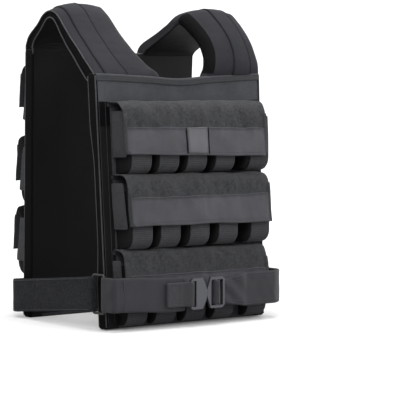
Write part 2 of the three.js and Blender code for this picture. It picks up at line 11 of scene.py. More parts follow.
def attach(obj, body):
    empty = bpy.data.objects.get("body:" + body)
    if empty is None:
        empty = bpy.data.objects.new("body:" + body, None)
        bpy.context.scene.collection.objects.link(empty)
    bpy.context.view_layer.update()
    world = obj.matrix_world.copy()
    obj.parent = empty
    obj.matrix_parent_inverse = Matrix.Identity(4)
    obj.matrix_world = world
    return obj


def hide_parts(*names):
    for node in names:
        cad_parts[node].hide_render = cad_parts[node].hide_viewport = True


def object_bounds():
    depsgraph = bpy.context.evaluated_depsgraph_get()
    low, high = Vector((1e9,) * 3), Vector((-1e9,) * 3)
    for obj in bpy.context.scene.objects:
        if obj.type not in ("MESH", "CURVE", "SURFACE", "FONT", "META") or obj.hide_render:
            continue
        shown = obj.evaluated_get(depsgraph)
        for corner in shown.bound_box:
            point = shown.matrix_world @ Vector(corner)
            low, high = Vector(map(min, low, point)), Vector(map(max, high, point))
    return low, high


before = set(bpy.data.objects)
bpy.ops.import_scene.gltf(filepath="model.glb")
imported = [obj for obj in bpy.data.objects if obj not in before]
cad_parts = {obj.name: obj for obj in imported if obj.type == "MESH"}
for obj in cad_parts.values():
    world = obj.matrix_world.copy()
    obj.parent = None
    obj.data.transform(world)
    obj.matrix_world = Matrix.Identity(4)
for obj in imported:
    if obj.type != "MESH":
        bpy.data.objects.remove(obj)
cad_box = [list(corner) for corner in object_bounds()]

# Sizes shared with the CAD model
SHOULDERS = 519.0
HALF_WIDTH = 176.0
HEM_TAPER = 6.0
PANEL_THICKNESS = 22.0
PANEL_MIDDLE = 95.0
OUTER = 106.0
FRONT_TOP = 417.0
BACK_TOP = 458.0
FRONT_LEAN = math.atan(22.0 / FRONT_TOP)
BACK_LEAN = math.atan(20.0 / BACK_TOP)
POCKET_WIDTH = 46.0
POCKET_DEPTH = 44.0
PRESSED_DEPTH = 32.0
POCKET_HEIGHT = 104.0
POCKET_ROUND = 20.0
RIM_DROP = 11.0
BAND_WIDTH = 42.0
FLAP_LENGTHS = {-1: 89.0, 1: 81.0}
FLAP_RISE = 17.0
FLAP_END = 5.0
# The rows of pockets from the top down: (bottom, pitch, depth)
FRONT_ROWS = [(254.0, 60.0, POCKET_DEPTH), (129.0, 61.5, POCKET_DEPTH), (4.0, 62.5, PRESSED_DEPTH)]
BACK_ROWS = [(317.0, 63.0, POCKET_DEPTH), (192.0, 65.0, POCKET_DEPTH), (67.0, 66.5, POCKET_DEPTH)]
BELT_LOW = 22.0
BELT_HEIGHT = 58.0
NEAR_RISE = 6.0
BELT_LINE = -168.0
WEBBING_HEIGHT = 42.0
BUCKLE_MIDDLE_HEIGHT = BELT_LOW + BELT_HEIGHT / 2
BUCKLE_MIDDLE = -175.6


# Placing points
def stand(x, y, z):
    """A point of the upright vest, in the row frame."""
    return Vector((x, y, z - SHOULDERS)) / 1000


def place(side, x, out, z):
    """A point at a distance out from a panel's outer face: side is -1 in front, 1 behind. Each
    panel leans outward from its top edge."""
    top, lean = (FRONT_TOP, FRONT_LEAN) if side < 0 else (BACK_TOP, BACK_LEAN)
    out += OUTER - PANEL_MIDDLE
    down = top - z
    y = side * (PANEL_MIDDLE + out * math.cos(lean) + down * math.sin(lean))
    return stand(x, y, top - down * math.cos(lean) + out * math.sin(lean))


def blend(a, b, share):
    return a + (b - a) * share


def between(a, b, count):
    """count + 1 even values from a to b."""
    return [blend(a, b, k / count) for k in range(count + 1)]


def smooth(share):
    share = min(max(share, 0.0), 1.0)
    return share * share * (3 - 2 * share)


def wave(seed, *at):
    """Smooth noise between about -1 and 1 at up to three coordinates."""
    spread = list(at) + [0.0] * (3 - len(at))
    return noise.noise(Vector(spread) + Vector((seed * 17.3, seed * 5.1, seed * 11.7)))


def spline(rows, steps):
    """Rows of equally many numbers, with steps between each two on a smooth curve."""
    out = []
    for i in range(len(rows) - 1):
        p0 = rows[max(i - 1, 0)]
        p1, p2 = rows[i], rows[i + 1]
        p3 = rows[min(i + 2, len(rows) - 1)]
        for step in range(steps):
            t = step / steps
            out.append([
                0.5 * (2 * b + (c - a) * t + (2 * a - 5 * b + 4 * c - d) * t * t
                       + (3 * b - a - 3 * c + d) * t ** 3)
                for a, b, c, d in zip(p0, p1, p2, p3)
            ])
    out.append(list(rows[-1]))
    return out


def evenly(points, pitch):
    """Points along a polyline at about an even pitch in metres."""
    lengths = [0.0]
    for a, b in zip(points, points[1:]):
        lengths.append(lengths[-1] + (b - a).length)
    count = max(int(round(lengths[-1] / pitch)), 1)
    out = []
    k = 0
    for i in range(count + 1):
        target = lengths[-1] * i / count
        while k < len(points) - 2 and lengths[k + 1] < target:
            k += 1
        span = max(lengths[k + 1] - lengths[k], 1e-9)
        out.append(points[k].lerp(points[k + 1], (target - lengths[k]) / span))
    return out


# Meshes
def new_object(name, bm, looks, thick=0.0, rounds=0):
    """thick makes a sheet of that thickness; rounds is how often its faces are divided."""
    bmesh.ops.recalc_face_normals(bm, faces=bm.faces)
    mesh = bpy.data.meshes.new(name)
    bm.to_mesh(mesh)
    bm.free()
    for look in looks:
        mesh.materials.append(look)
    for polygon in mesh.polygons:
        polygon.use_smooth = True
    obj = bpy.data.objects.new(name, mesh)
    bpy.context.scene.collection.objects.link(obj)
    if thick:
        solid = obj.modifiers.new("thickness", "SOLIDIFY")
        solid.thickness = thick / 1000
        solid.offset = 0.0
    if rounds:
        soft = obj.modifiers.new("rounding", "SUBSURF")
        soft.levels = rounds
        soft.render_levels = rounds
    return obj


def add_rows(bm, rows, wrap=False, ends=False, look=None):
    """Quads through rows of equally many points, with a cloth map in metres."""
    layer = bm.loops.layers.uv.get("cloth") or bm.loops.layers.uv.new("cloth")
    verts = [[bm.verts.new(p) for p in row] for row in rows]
    count = len(rows[0])
    middle_row = rows[len(rows) // 2]
    across = [0.0]
    for j in range(count):
        across.append(across[-1] + (middle_row[(j + 1) % count] - middle_row[j]).length)
    middle_column = count // 2
    along = [0.0]
    for a, b in zip(rows, rows[1:]):
        along.append(along[-1] + (b[middle_column] - a[middle_column]).length)
    for i in range(len(rows) - 1):
        for j in range(count if wrap else count - 1):
            k = (j + 1) % count
            corners = (verts[i][j], verts[i][k], verts[i + 1][k], verts[i + 1][j])
            if len(set(corners)) < 4:
                continue
            face = bm.faces.new(corners)
            face.material_index = look(i, j) if look else 0
            spots = ((j, i), (j + 1, i), (j + 1, i + 1), (j, i + 1))
            for loop, (u, v) in zip(face.loops, spots):
                loop[layer].uv = (across[u], along[v])
    if ends:
        for row, way in ((verts[0], -1), (verts[-1], 1)):
            face = bm.faces.new(row[::way])
            face.material_index = look(0 if way < 0 else len(rows) - 2, 0) if look else 0
def skin(name, rows, looks, wrap=False, ends=False, look=None, thick=0.0, rounds=1):
    """A piece through rows of points. look gives the slot of looks that a face has."""
    bm = bmesh.new()
    add_rows(bm, rows, wrap, ends, look)
    return new_object(name, bm, looks, thick, rounds)


def circle(middle, side, up, radius, count):
    """Points round a middle, in the plane of two directions, with the radius in metres."""
    turns = [2 * math.pi * k / count for k in range(count)]
    return [middle + (side * math.cos(turn) + up * math.sin(turn)) * radius for turn in turns]


def tube_rows(points, radius, sides, closed):
    """Rows of a round tube without twist, for add_rows."""
    count = len(points)
    rows = []
    side = None
    for i, p in enumerate(points):
        before = points[(i - 1) % count] if closed else points[max(i - 1, 0)]
        after = points[(i + 1) % count] if closed else points[min(i + 1, count - 1)]
        tangent = (after - before).normalized()
        if side is None:
            helper = Vector((0, 0, 1)) if abs(tangent.z) < 0.8 else Vector((0, 1, 0))
            side = tangent.cross(helper).normalized()
        side = (side - tangent * side.dot(tangent)).normalized()
        rows.append(circle(p, side, side.cross(tangent), radius / 1000, sides))
    return rows + rows[:1] if closed else rows


def tubes(name, lines, radius, look, sides=8, closed=False):
    """One piece of several tubes, such as all the piping of a panel."""
    bm = bmesh.new()
    for points in lines:
        add_rows(bm, tube_rows(points, radius, sides, closed), wrap=True, ends=not closed)
    if closed:
        bmesh.ops.remove_doubles(bm, verts=bm.verts, dist=1e-6)
    return new_object(name, bm, [look])


# A stitch from end to end: (share of its length, share of its radius, lift in radii)
SPINDLE = ((0.0, 0.35, -0.6), (0.25, 1.0, 0.25), (0.75, 1.0, 0.25), (1.0, 0.35, -0.6))
STITCH_SIDES = 5


def add_stitch(bm, start, end, up, radius):
    """One thread stitch: a thin spindle that sinks at both ends."""
    side = (end - start).normalized().cross(up).normalized()
    rings = []
    for share, size, lift in SPINDLE:
        middle = start.lerp(end, share) + up * radius * lift
        ring = circle(middle, side, up, radius * size, STITCH_SIDES)
        rings.append([bm.verts.new(p) for p in ring])
    for a, b in zip(rings, rings[1:]):
        for k in range(STITCH_SIDES):
            after = (k + 1) % STITCH_SIDES
            bm.faces.new((a[k], a[after], b[after], b[k]))
    bm.faces.new(rings[0][::-1])
    bm.faces.new(rings[-1])


def stitches(name, lines, look, pitch=3.0, length=2.1, radius=0.42):
    """One piece of sewn thread. A line is (points, up), with up one vector or one for each point."""
    bm = bmesh.new()
    for points, up in lines:
        dense = evenly(points, pitch / 1000)
        for i, (a, b) in enumerate(zip(dense, dense[1:])):
            way = up if isinstance(up, Vector) else up[min(int(i / len(dense) * len(up)), len(up) - 1)]
            tangent = (b - a).normalized()
            way = (way - tangent * way.dot(tangent)).normalized()
            add_stitch(bm, a, a + tangent * length / 1000, way, radius / 1000)
    return new_object(name, bm, [look])


def zigzag(a, b, up, width, pitch):
    """A zigzag line of thread from a to b, as points, for stitches one leg each."""
    tangent = (b - a).normalized()
    side = tangent.cross(up).normalized()
    count = max(int((b - a).length * 1000 / pitch), 2)
    points = []
    for i in range(count + 1):
        sway = width / 2000 * (1 if i % 2 else -1)
        points.append(a.lerp(b, i / count) + side * sway)
    return points


# Materials
def dial(node, values):
    for name, value in values.items():
        node.inputs[name].default_value = value
def maths(tree, operation, a, b=None, c=None):
    """The output of a maths node on sockets or numbers."""
    node = tree.nodes.new("ShaderNodeMath")
    node.operation = operation
    for socket, value in zip(node.inputs, (a, b, c)):
        if value is None:
            continue
        if isinstance(value, (int, float)):
            socket.default_value = value
        else:
            tree.links.new(value, socket)
    return node.outputs[0]


def grain_noise(tree, where, scale, detail=2.0):
    """Noise around 0, from about -1 to 1, at a scale for each metre."""
    node = tree.nodes.new("ShaderNodeTexNoise")
    dial(node, {"Scale": scale, "Detail": detail})
    tree.links.new(where, node.inputs["Vector"])
    return maths(tree, "MULTIPLY_ADD", node.outputs["Fac"], 2.0, -1.0)


def thread_wave(tree, socket, pitch):
    """A sine along a cloth coordinate, with a pitch in millimetres."""
    return maths(tree, "SINE", maths(tree, "MULTIPLY", socket, 2000 * math.pi / pitch))


def new_material(name, values):
    """(material, its nodes, its shader, the place on the object as a socket)"""
    material = bpy.data.materials.new(name)
    material.use_nodes = True
    tree = material.node_tree
    shader = tree.nodes["Principled BSDF"]
    dial(shader, values)
    return material, tree, shader, tree.nodes.new("ShaderNodeTexCoord").outputs["Object"]


def add_relief(tree, shader, height, strength, distance):
    """Bumps on a material, with their height in millimetres."""
    bump = tree.nodes.new("ShaderNodeBump")
    dial(bump, {"Strength": strength, "Distance": distance / 1000})
    tree.links.new(height, bump.inputs["Height"])
    tree.links.new(bump.outputs[0], shader.inputs["Normal"])


def fabric(name, color, pattern, warp, weft, depth, shade, grain, grain_scale, mottle,
           rough, sheen, specular, clumps=0.0):
    """Cloth with a woven relief. warp and weft are thread pitches, depth is the relief's height,
    and shade, grain, mottle and clumps are how much the weave, single threads, broad patches and
    small ones change the colour."""
    material, tree, shader, where = new_material(name, {
        "Roughness": rough, "Sheen Weight": sheen, "Sheen Roughness": 0.45, "Specular IOR Level": specular,
    })
    cloth = tree.nodes.new("ShaderNodeUVMap")
    cloth.uv_map = "cloth"
    split = tree.nodes.new("ShaderNodeSeparateXYZ")
    tree.links.new(cloth.outputs["UV"], split.inputs[0])
    across, along = split.outputs["X"], split.outputs["Y"]
    if pattern == "plain":
        weave = maths(tree, "MULTIPLY", thread_wave(tree, across, warp), thread_wave(tree, along, weft))
    elif pattern == "twill":
        slant = maths(tree, "ADD", across, maths(tree, "MULTIPLY", along, warp / weft))
        weave = thread_wave(tree, slant, warp)
    elif pattern == "rib":
        ribs = thread_wave(tree, along, weft)
        weave = maths(tree, "MULTIPLY_ADD", thread_wave(tree, across, warp), 0.35, ribs)
    else:
        weave = grain_noise(tree, where, 1000.0 / warp, 3.0)
    threads = grain_noise(tree, where, grain_scale)
    broad = grain_noise(tree, where, 22.0, 3.0)
    factor = maths(tree, "MULTIPLY_ADD", weave, shade, 1.0)
    factor = maths(tree, "MULTIPLY_ADD", threads, grain, factor)
    factor = maths(tree, "MULTIPLY_ADD", broad, mottle, factor)
    if clumps:
        factor = maths(tree, "MULTIPLY_ADD", grain_noise(tree, where, 210.0, 3.0), clumps, factor)
    tint = tree.nodes.new("ShaderNodeVectorMath")
    tint.operation = "SCALE"
    tint.inputs[0].default_value = color
    tree.links.new(factor, tint.inputs["Scale"])
    tree.links.new(tint.outputs[0], shader.inputs["Base Color"])
    add_relief(tree, shader, maths(tree, "MULTIPLY_ADD", threads, 0.6, weave), 0.8, depth)
    return material


def metal(name, color, rough, metallic):
    """Coated metal with fine wear in its shine."""
    material, tree, shader, where = new_material(name, {"Base Color": (*color, 1.0), "Metallic": metallic})
    fine = grain_noise(tree, where, 900.0, 4.0)
    broad = grain_noise(tree, where, 60.0, 3.0)
    shine = maths(tree, "MULTIPLY_ADD", fine, 0.06, rough)
    shine = maths(tree, "MULTIPLY_ADD", broad, 0.12, shine)
    tree.links.new(shine, shader.inputs["Roughness"])
    add_relief(tree, shader, fine, 0.3, 0.05)
    return material


# The arguments of fabric(), in its order: name, colour, pattern, warp, weft, depth, then shade, grain,
# grain_scale, mottle, rough, sheen, specular and, on fuzzy or coarse cloth, clumps


CANVAS = fabric("canvas", (0.0128, 0.0134, 0.0152), "plain", 1.8, 1.8, 0.6,
                0.4, 0.9, 380, 0.25, 0.9, 0.04, 0.12, 0.9)
FACING = fabric("facing", (0.0205, 0.0214, 0.0242), "plain", 1.2, 1.2, 0.2,
                0.12, 0.3, 500, 0.45, 0.85, 0.04, 0.12, 0.3)
# The satin's strong broad mottle is partly its own uneven tone and partly painted sheen and shade, lighter
# and darker in broad patches.
SATIN = fabric("satin", (0.0122, 0.0122, 0.0158), "twill", 1.0, 1.0, 0.08,
               0.1, 0.25, 600, 0.7, 0.55, 0.03, 0.24, 0.2)
LINING = fabric("lining", (0.0012, 0.0012, 0.0014), "plain", 0.6, 0.6, 0.05,
                0.05, 0.15, 900, 0.15, 0.55, 0.0, 0.07)
GUSSET = fabric("gusset", (0.0013, 0.0013, 0.0015), "plain", 0.8, 0.8, 0.1,
                0.08, 0.5, 500, 0.3, 0.8, 0.0, 0.03, 0.6)
POCKET = fabric("pocket_cloth", (0.0024, 0.0024, 0.0028), "plain", 0.8, 0.8, 0.1,
                0.08, 0.3, 600, 0.25, 0.85, 0.0, 0.1)
WEBBING = fabric("webbing", (0.0175, 0.0177, 0.0198), "rib", 2.4, 3.2, 0.2,
                 0.18, 0.3, 500, 0.2, 0.75, 0.02, 0.08, 0.4)
TAB = fabric("tab_cloth", (0.0140, 0.0142, 0.0162), "twill", 2.2, 2.2, 0.3,
             0.25, 0.4, 500, 0.3, 0.8, 0.03, 0.12, 0.5)
STRAP = fabric("strap_nylon", (0.0072, 0.0073, 0.0092), "plain", 0.9, 0.9, 0.1,
               0.08, 0.2, 600, 0.4, 0.75, 0.02, 0.06, 0.15)
SASH = fabric("strap_webbing", (0.0078, 0.0080, 0.0100), "rib", 1.2, 1.6, 0.1,
              0.1, 0.2, 600, 0.3, 0.75, 0.02, 0.06, 0.12)
BELT = fabric("belt_nylon", (0.0086, 0.0088, 0.0110), "rib", 2.4, 1.4, 0.1,
              0.1, 0.2, 600, 0.2, 0.65, 0.04, 0.15, 0.15)
SEWN = fabric("buckle_webbing", (0.0135, 0.0137, 0.0160), "plain", 1.2, 1.2, 0.15,
              0.1, 0.2, 600, 0.2, 0.7, 0.04, 0.15, 0.2)
LOOP = fabric("loop_strap", (0.0058, 0.0062, 0.0071), "fuzz", 1.6, 1.6, 0.6,
              0.5, 0.9, 320, 0.5, 1.0, 0.03, 0.05, 1.1)
PATCH = fabric("patch_cloth", (0.045, 0.045, 0.049), "twill", 1.0, 1.0, 0.15,
               0.12, 0.2, 600, 0.1, 0.8, 0.04, 0.2)
PIPING = fabric("piping", (0.0150, 0.0155, 0.0175), "rib", 1.0, 1.6, 0.2,
                0.3, 0.4, 500, 0.5, 0.7, 0.03, 0.2, 0.8)
HEM = fabric("hem", (0.0125, 0.013, 0.015), "rib", 2.6, 1.6, 0.3,
             0.3, 0.3, 600, 0.2, 0.8, 0.04, 0.12, 0.5)
THREAD = fabric("thread", (0.026, 0.027, 0.030), "fuzz", 0.6, 0.6, 0.05,
                0.1, 0.1, 900, 0.1, 0.7, 0.03, 0.2)
# Near-black cloth for thin tubes that are painted shade in grooves and creases.
SHADE_LINE = fabric("shade_line", (0.0015, 0.0015, 0.002), "fuzz", 0.6, 0.6, 0.05,
              0.1, 0.1, 900, 0.1, 0.9, 0.0, 0.1)
BUCKLE = metal("buckle_metal", (0.045, 0.046, 0.052), 0.36, 0.7)
WIRE = metal("ring_metal", (0.014, 0.014, 0.0155), 0.35, 0.6)


# Every piece joins the root, and hides the imported parts that it stands for.
def piece(obj, stands_for=()):
    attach(obj, "root")
    if stands_for:
        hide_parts(*stands_for)


def sew(name, lines, look=THREAD, **sizes):
    piece(stitches(name, lines, look, **sizes))


# Panels: padded slabs with a canvas outside, a smooth lining and dark piped sides
EDGE = 3.0
TOP_TURN = 4.0
CORNER_STEPS = 5
FACE_STEPS = 30
# How much of the padding's swells shows through the canvas and through the lining
CANVAS_SWELL = 0.5
LINING_SWELL = 0.8


def top_sag(share):
    """How far a panel's top edge lies lower between the straps than at its corners."""
    return 4.5 * smooth(1 - abs(share) / 0.45) - 4.5 * smooth((abs(share) - 0.3) / 0.7)


def taper(z, top):
    return 1 - HEM_TAPER / HALF_WIDTH * (1 - z / top)


def panel_face(side, x, z, outer):
    """Small swells of the padding, in millimetres out of the face."""
    seed = (3 if outer else 5) + side
    broad = 1.1 * wave(seed, x / 75, z / 90)
    folds = 0.5 * wave(seed + 9, x / 24, z / 120)
    return broad + folds


def rounded_turn(low, high, z, radius, upward):
    """The rounded end of a slab from one face to the other, as (depth, z) points."""
    points = []
    for centre, start in ((low + radius, 1.0), (high - radius, 0.5)):
        for k in range(5):
            angle = math.pi * (start - 0.5 * k / 4)
            rise = z + upward * radius * (math.sin(angle) - 1)
            points.append((centre + radius * math.cos(angle), rise))
    return points


def slimness(side, z):
    """How much thinner the front panel is where its pockets pull it outward."""
    return 1 - 0.36 * smooth((345 - z) / 80) * smooth((z - 40) / 110) if side < 0 else 1.0


def panel(name, side, bottom, top):
    """A panel with its piping, hem and seams. Its rows follow one another from side to side."""
    turns = [math.pi / 2 * k / CORNER_STEPS for k in range(CORNER_STEPS)]
    ends = [(HALF_WIDTH - EDGE + EDGE * math.cos(turn), EDGE * (1 - math.sin(turn))) for turn in turns]
    inner = [(x, 0.0) for x in between(HALF_WIDTH - EDGE, EDGE - HALF_WIDTH, 44)]
    course = ends + inner + [(-x, inset) for x, inset in reversed(ends)]
    half = PANEL_THICKNESS / 2
    rows = []
    for x, inset in course:
        thick = half - inset
        high = top - inset - top_sag(x / HALF_WIDTH)
        low = bottom + inset
        fade = 1 - inset / EDGE
        heights = between(low + TOP_TURN, high - TOP_TURN, FACE_STEPS)
        row = [(-thick - fade * panel_face(side, x, z, False) * LINING_SWELL, z) for z in heights]
        row += rounded_turn(-thick, thick, high, TOP_TURN, 1)
        row += [(thick + fade * panel_face(side, x, z, True) * CANVAS_SWELL, z) for z in reversed(heights)]
        row += reversed(rounded_turn(-thick, thick, low, TOP_TURN, -1))
        rows.append([
            place(side, x * taper(z, top), (depth - half) * slimness(side, z), z) for depth, z in row
        ])
    lining_end = FACE_STEPS + 5
    last = len(rows) - 1
    # Beside each side, below the top band, a strip three columns wide of the outer face and bottom turn is
    # painted shade of the pockets and tabs: the side cloth in its first three rows, the pocket cloth below.
    cover, lined, side_wall_and_shade, painted_shade = range(4)

    def look(i, j):
        from_side = min(i, last - 1 - i)
        if from_side < CORNER_STEPS:
            return side_wall_and_shade
        if j < lining_end:
            return lined
        if from_side >= CORNER_STEPS + 3 or j < lining_end + 9:
            return cover
        return painted_shade if j > lining_end + 11 else side_wall_and_shade

    looks = [FACING if side < 0 else CANVAS, LINING, GUSSET, POCKET]
    body = skin(f"panel_{name}_body", rows, looks, wrap=True, ends=True, look=look)
    piece(body, [f"panel_{name}"])
    lines = []
    for hand in (-1, 1):
        for depth in (-0.8, 0.8 - PANEL_THICKNESS) if side < 0 else (-0.8,):
            points = []
            for z in between(bottom + 3, top + 2, 40):
                x = hand * (HALF_WIDTH * taper(z, top) - 0.8)
                points.append(place(side, x, depth * slimness(side, z), z))
            lines.append(points)
    piece(tubes(f"panel_{name}_piping", lines, 1.2, PIPING))
    hem_rows = []
    for x in between(1 - HALF_WIDTH, HALF_WIDTH - 1, 60):
        row = []
        for out, drop in HEM_COURSE:
            z = top - top_sag(x / HALF_WIDTH) - drop
            outside = out > HEM_CREST
            swell = panel_face(side, x, z, outside) * (CANVAS_SWELL if outside else -LINING_SWELL)
            row.append(place(side, x, out + swell, z))
        hem_rows.append(row)
    hem = skin(f"panel_{name}_hem", hem_rows, [HEM], thick=0.9)
    piece(hem)
    seams = []
    facing = Vector((0, side, 0))
    for hand in (-1, 1):
        for inset in (5.0, 18.0):
            points = []
            for z in between(bottom + 12, top - 13, 60):
                x = hand * (HALF_WIDTH * taper(z, top) - inset)
                points.append(place(side, x, panel_face(side, x, z, True) * CANVAS_SWELL + 0.1, z))
            seams.append((points, facing))
    for drop in (2.2, 9.6):
        points = []
        for x in between(3 - HALF_WIDTH, HALF_WIDTH - 3, 60):
            z = top - drop - top_sag(x / HALF_WIDTH)
            points.append(place(side, x, panel_face(side, x, z, True) * CANVAS_SWELL + 1.7, z))
        seams.append((points, facing))
    sew(f"panel_{name}_stitches", seams)


# The hem from the outer face over the top edge: (out, drop from the top), and where it passes
# from the canvas to the lining
HEM_COURSE = [
    (0.5, 11.5), (1.0, 10.5), (1.15, 7.0), (1.1, 4.0), (0.7, 1.2), (-0.8, -0.5), (-3.5, -0.9), (-11.0, -0.9),
    (-18.5, -0.7), (-20.5, 0.2),
]
HEM_CREST = -8
panel("front", -1, -4.6, FRONT_TOP)
panel("back", 1, -6.0, BACK_TOP)


# Shoulder straps. A row is (y as a share of the panels' middle, rise as a share of the crest's,
# inner edge as a share of the half width, thickness, lift and skew of the inner edge and arch,
# these four as shares of a panel's thickness).
CREST_RISE = 113.0
STRAP_PUFF = 4.0
STRAP_OUTER = 0.99
BAND_MIDDLE = 0.66
BAND_HALF = 19.0
SUNK_BACK = 0.26
STRAP_RIGHT = [
    (-0.985, -0.16, 0.24, 0.5, 0.0, 0.0, 0.0), (-0.985, -0.03, 0.24, 0.86, 0.0, 0.0, 0.0),
    (-0.86, 0.065, 0.30, 1.0, 0.0, 0.0, 0.05), (-0.64, 0.24, 0.35, 0.95, 0.0, 0.0, 0.1),
    (-0.42, 0.4, 0.36, 0.9, -0.1, 0.0, 0.15), (-0.17, 0.585, 0.36, 0.82, -0.15, 0.1, 0.2),
    (0.03, 0.76, 0.36, 0.7, -0.15, 0.2, 0.25), (0.2, 0.9, 0.36, 0.6, 0.0, 0.4, 0.3),
    (0.42, 0.985, 0.36, 0.55, 0.4, 0.7, 0.3), (0.58, 0.905, 0.36, 0.6, 0.15, 0.6, 0.28),
    (0.75, 0.75, 0.355, 0.65, 0.1, 0.4, 0.22), (0.89, 0.63, 0.35, 0.75, 0.05, 0.15, 0.15),
    (0.97, 0.545, 0.33, 0.85, 0.0, 0.0, 0.08), (1.01, 0.45, 0.31, 0.92, 0.0, 0.0, 0.0),
    (1.0, 0.363, 0.31, 1.0, 0.0, 0.0, 0.0), (1.0, SUNK_BACK, 0.31, 0.75, 0.0, 0.0, 0.0),
]
STRAP_LEFT = [
    (-0.985, -0.16, 0.33, 0.5, 0.0, 0.0, 0.0), (-0.985, -0.03, 0.33, 0.86, 0.0, 0.0, 0.0),
    (-0.98, 0.13, 0.38, 1.0, 0.0, 0.0, 0.05), (-0.9, 0.31, 0.42, 0.95, 0.0, 0.0, 0.1),
    (-0.77, 0.495, 0.43, 0.92, 0.0, 0.0, 0.15), (-0.6, 0.65, 0.42, 0.9, -0.1, 0.0, 0.2),
    (-0.42, 0.78, 0.4, 0.9, -0.1, 0.0, 0.25), (-0.23, 0.89, 0.38, 0.85, -0.15, 0.0, 0.3),
    (-0.06, 0.86, 0.37, 0.75, -0.1, 0.0, 0.3), (0.15, 0.755, 0.37, 0.7, 0.0, 0.0, 0.25),
    (0.42, 0.64, 0.365, 0.7, 0.0, 0.0, 0.15), (0.68, 0.54, 0.36, 0.75, 0.0, 0.0, 0.08),
    (0.89, 0.455, 0.355, 0.85, 0.0, 0.0, 0.0), (1.0, 0.363, 0.355, 1.0, 0.0, 0.0, 0.0),
    (1.0, SUNK_BACK, 0.355, 0.75, 0.0, 0.0, 0.0),
]


class Strap:
    """One shoulder strap as a frame at each station along it."""

    def __init__(self, hand, stations, seed):
        self.hand = hand
        self.seed = seed
        self.rows = spline(stations, 6)
        self.middles = [Vector((r[0] * PANEL_MIDDLE, FRONT_TOP + r[1] * CREST_RISE)) for r in self.rows]
        self.outs = []
        self.bends = []
        last = len(self.rows) - 1
        for i in range(last + 1):
            way = (self.middles[min(i + 1, last)] - self.middles[max(i - 1, 0)]).normalized()
            out = Vector((-way.y, way.x))
            if i < 5:
                out = Vector((-1, 0)).lerp(out, smooth((i - 1) / 5)).normalized()
            if i >= last - 6:
                out = Vector((1, 0)).lerp(out, smooth((last - i - 3) / 6)).normalized()
            self.outs.append(out)
        for i in range(last + 1):
            a, b = self.outs[max(i - 2, 0)], self.outs[min(i + 2, last)]
            self.bends.append(min(a.angle(b), 1.0))

    def point(self, i, across, side, lift=0.0):
        """across is 0 at the neck and 1 at the shoulder; side is 1 outside and -1 on the lining."""
        _, _, inner_share, thick, raised, skew, arch = self.rows[i]
        inner = inner_share * HALF_WIDTH
        x = inner + (STRAP_OUTER * HALF_WIDTH - inner) * across
        crown = max(1 - (2 * across - 1) ** 2, 0.0)
        share = i / (len(self.rows) - 1)
        ends = smooth((min(share, 1 - share) - 0.05) / 0.08)
        half = (thick * PANEL_THICKNESS + ends * STRAP_PUFF * math.sqrt(crown)) / 2
        bend = self.bends[i]
        along = i * 0.9
        if side < 0:
            ripple = ends * math.sqrt(crown) * (0.9 + 3.4 * bend) * wave(self.seed, along, across * 2.2)
        else:
            ripple = ends * crown * 0.7 * wave(self.seed + 4, along * 0.7, across * 3)
        out = side * (half + ripple) + arch * PANEL_THICKNESS * crown + lift
        sway = ends * 0.8 * wave(self.seed + 7, i * 0.25, across)
        toward = (0.5 - across) * PANEL_THICKNESS
        middle, way = self.middles[i], self.outs[i]
        y = middle.x + way.x * out + skew * toward
        return stand(self.hand * (x + sway), y, middle.y + way.y * out + raised * toward)

    def wall(self, i, across, bulge):
        """Points down a strap's side wall from the outer face to the lining, bulging outward."""
        top, low = self.point(i, across, 1), self.point(i, across, -1)
        way = self.hand * (1 if across > 0.5 else -1)
        points = []
        for k in (1, 2, 3):
            swell = bulge * math.sin(math.pi * k / 4) / 1000
            points.append(top.lerp(low, k / 4) + Vector((way * swell, 0, 0)))
        return points

    def line(self, across, side, lift, first, end):
        return [self.point(i, across, side, lift) for i in range(first, end)]


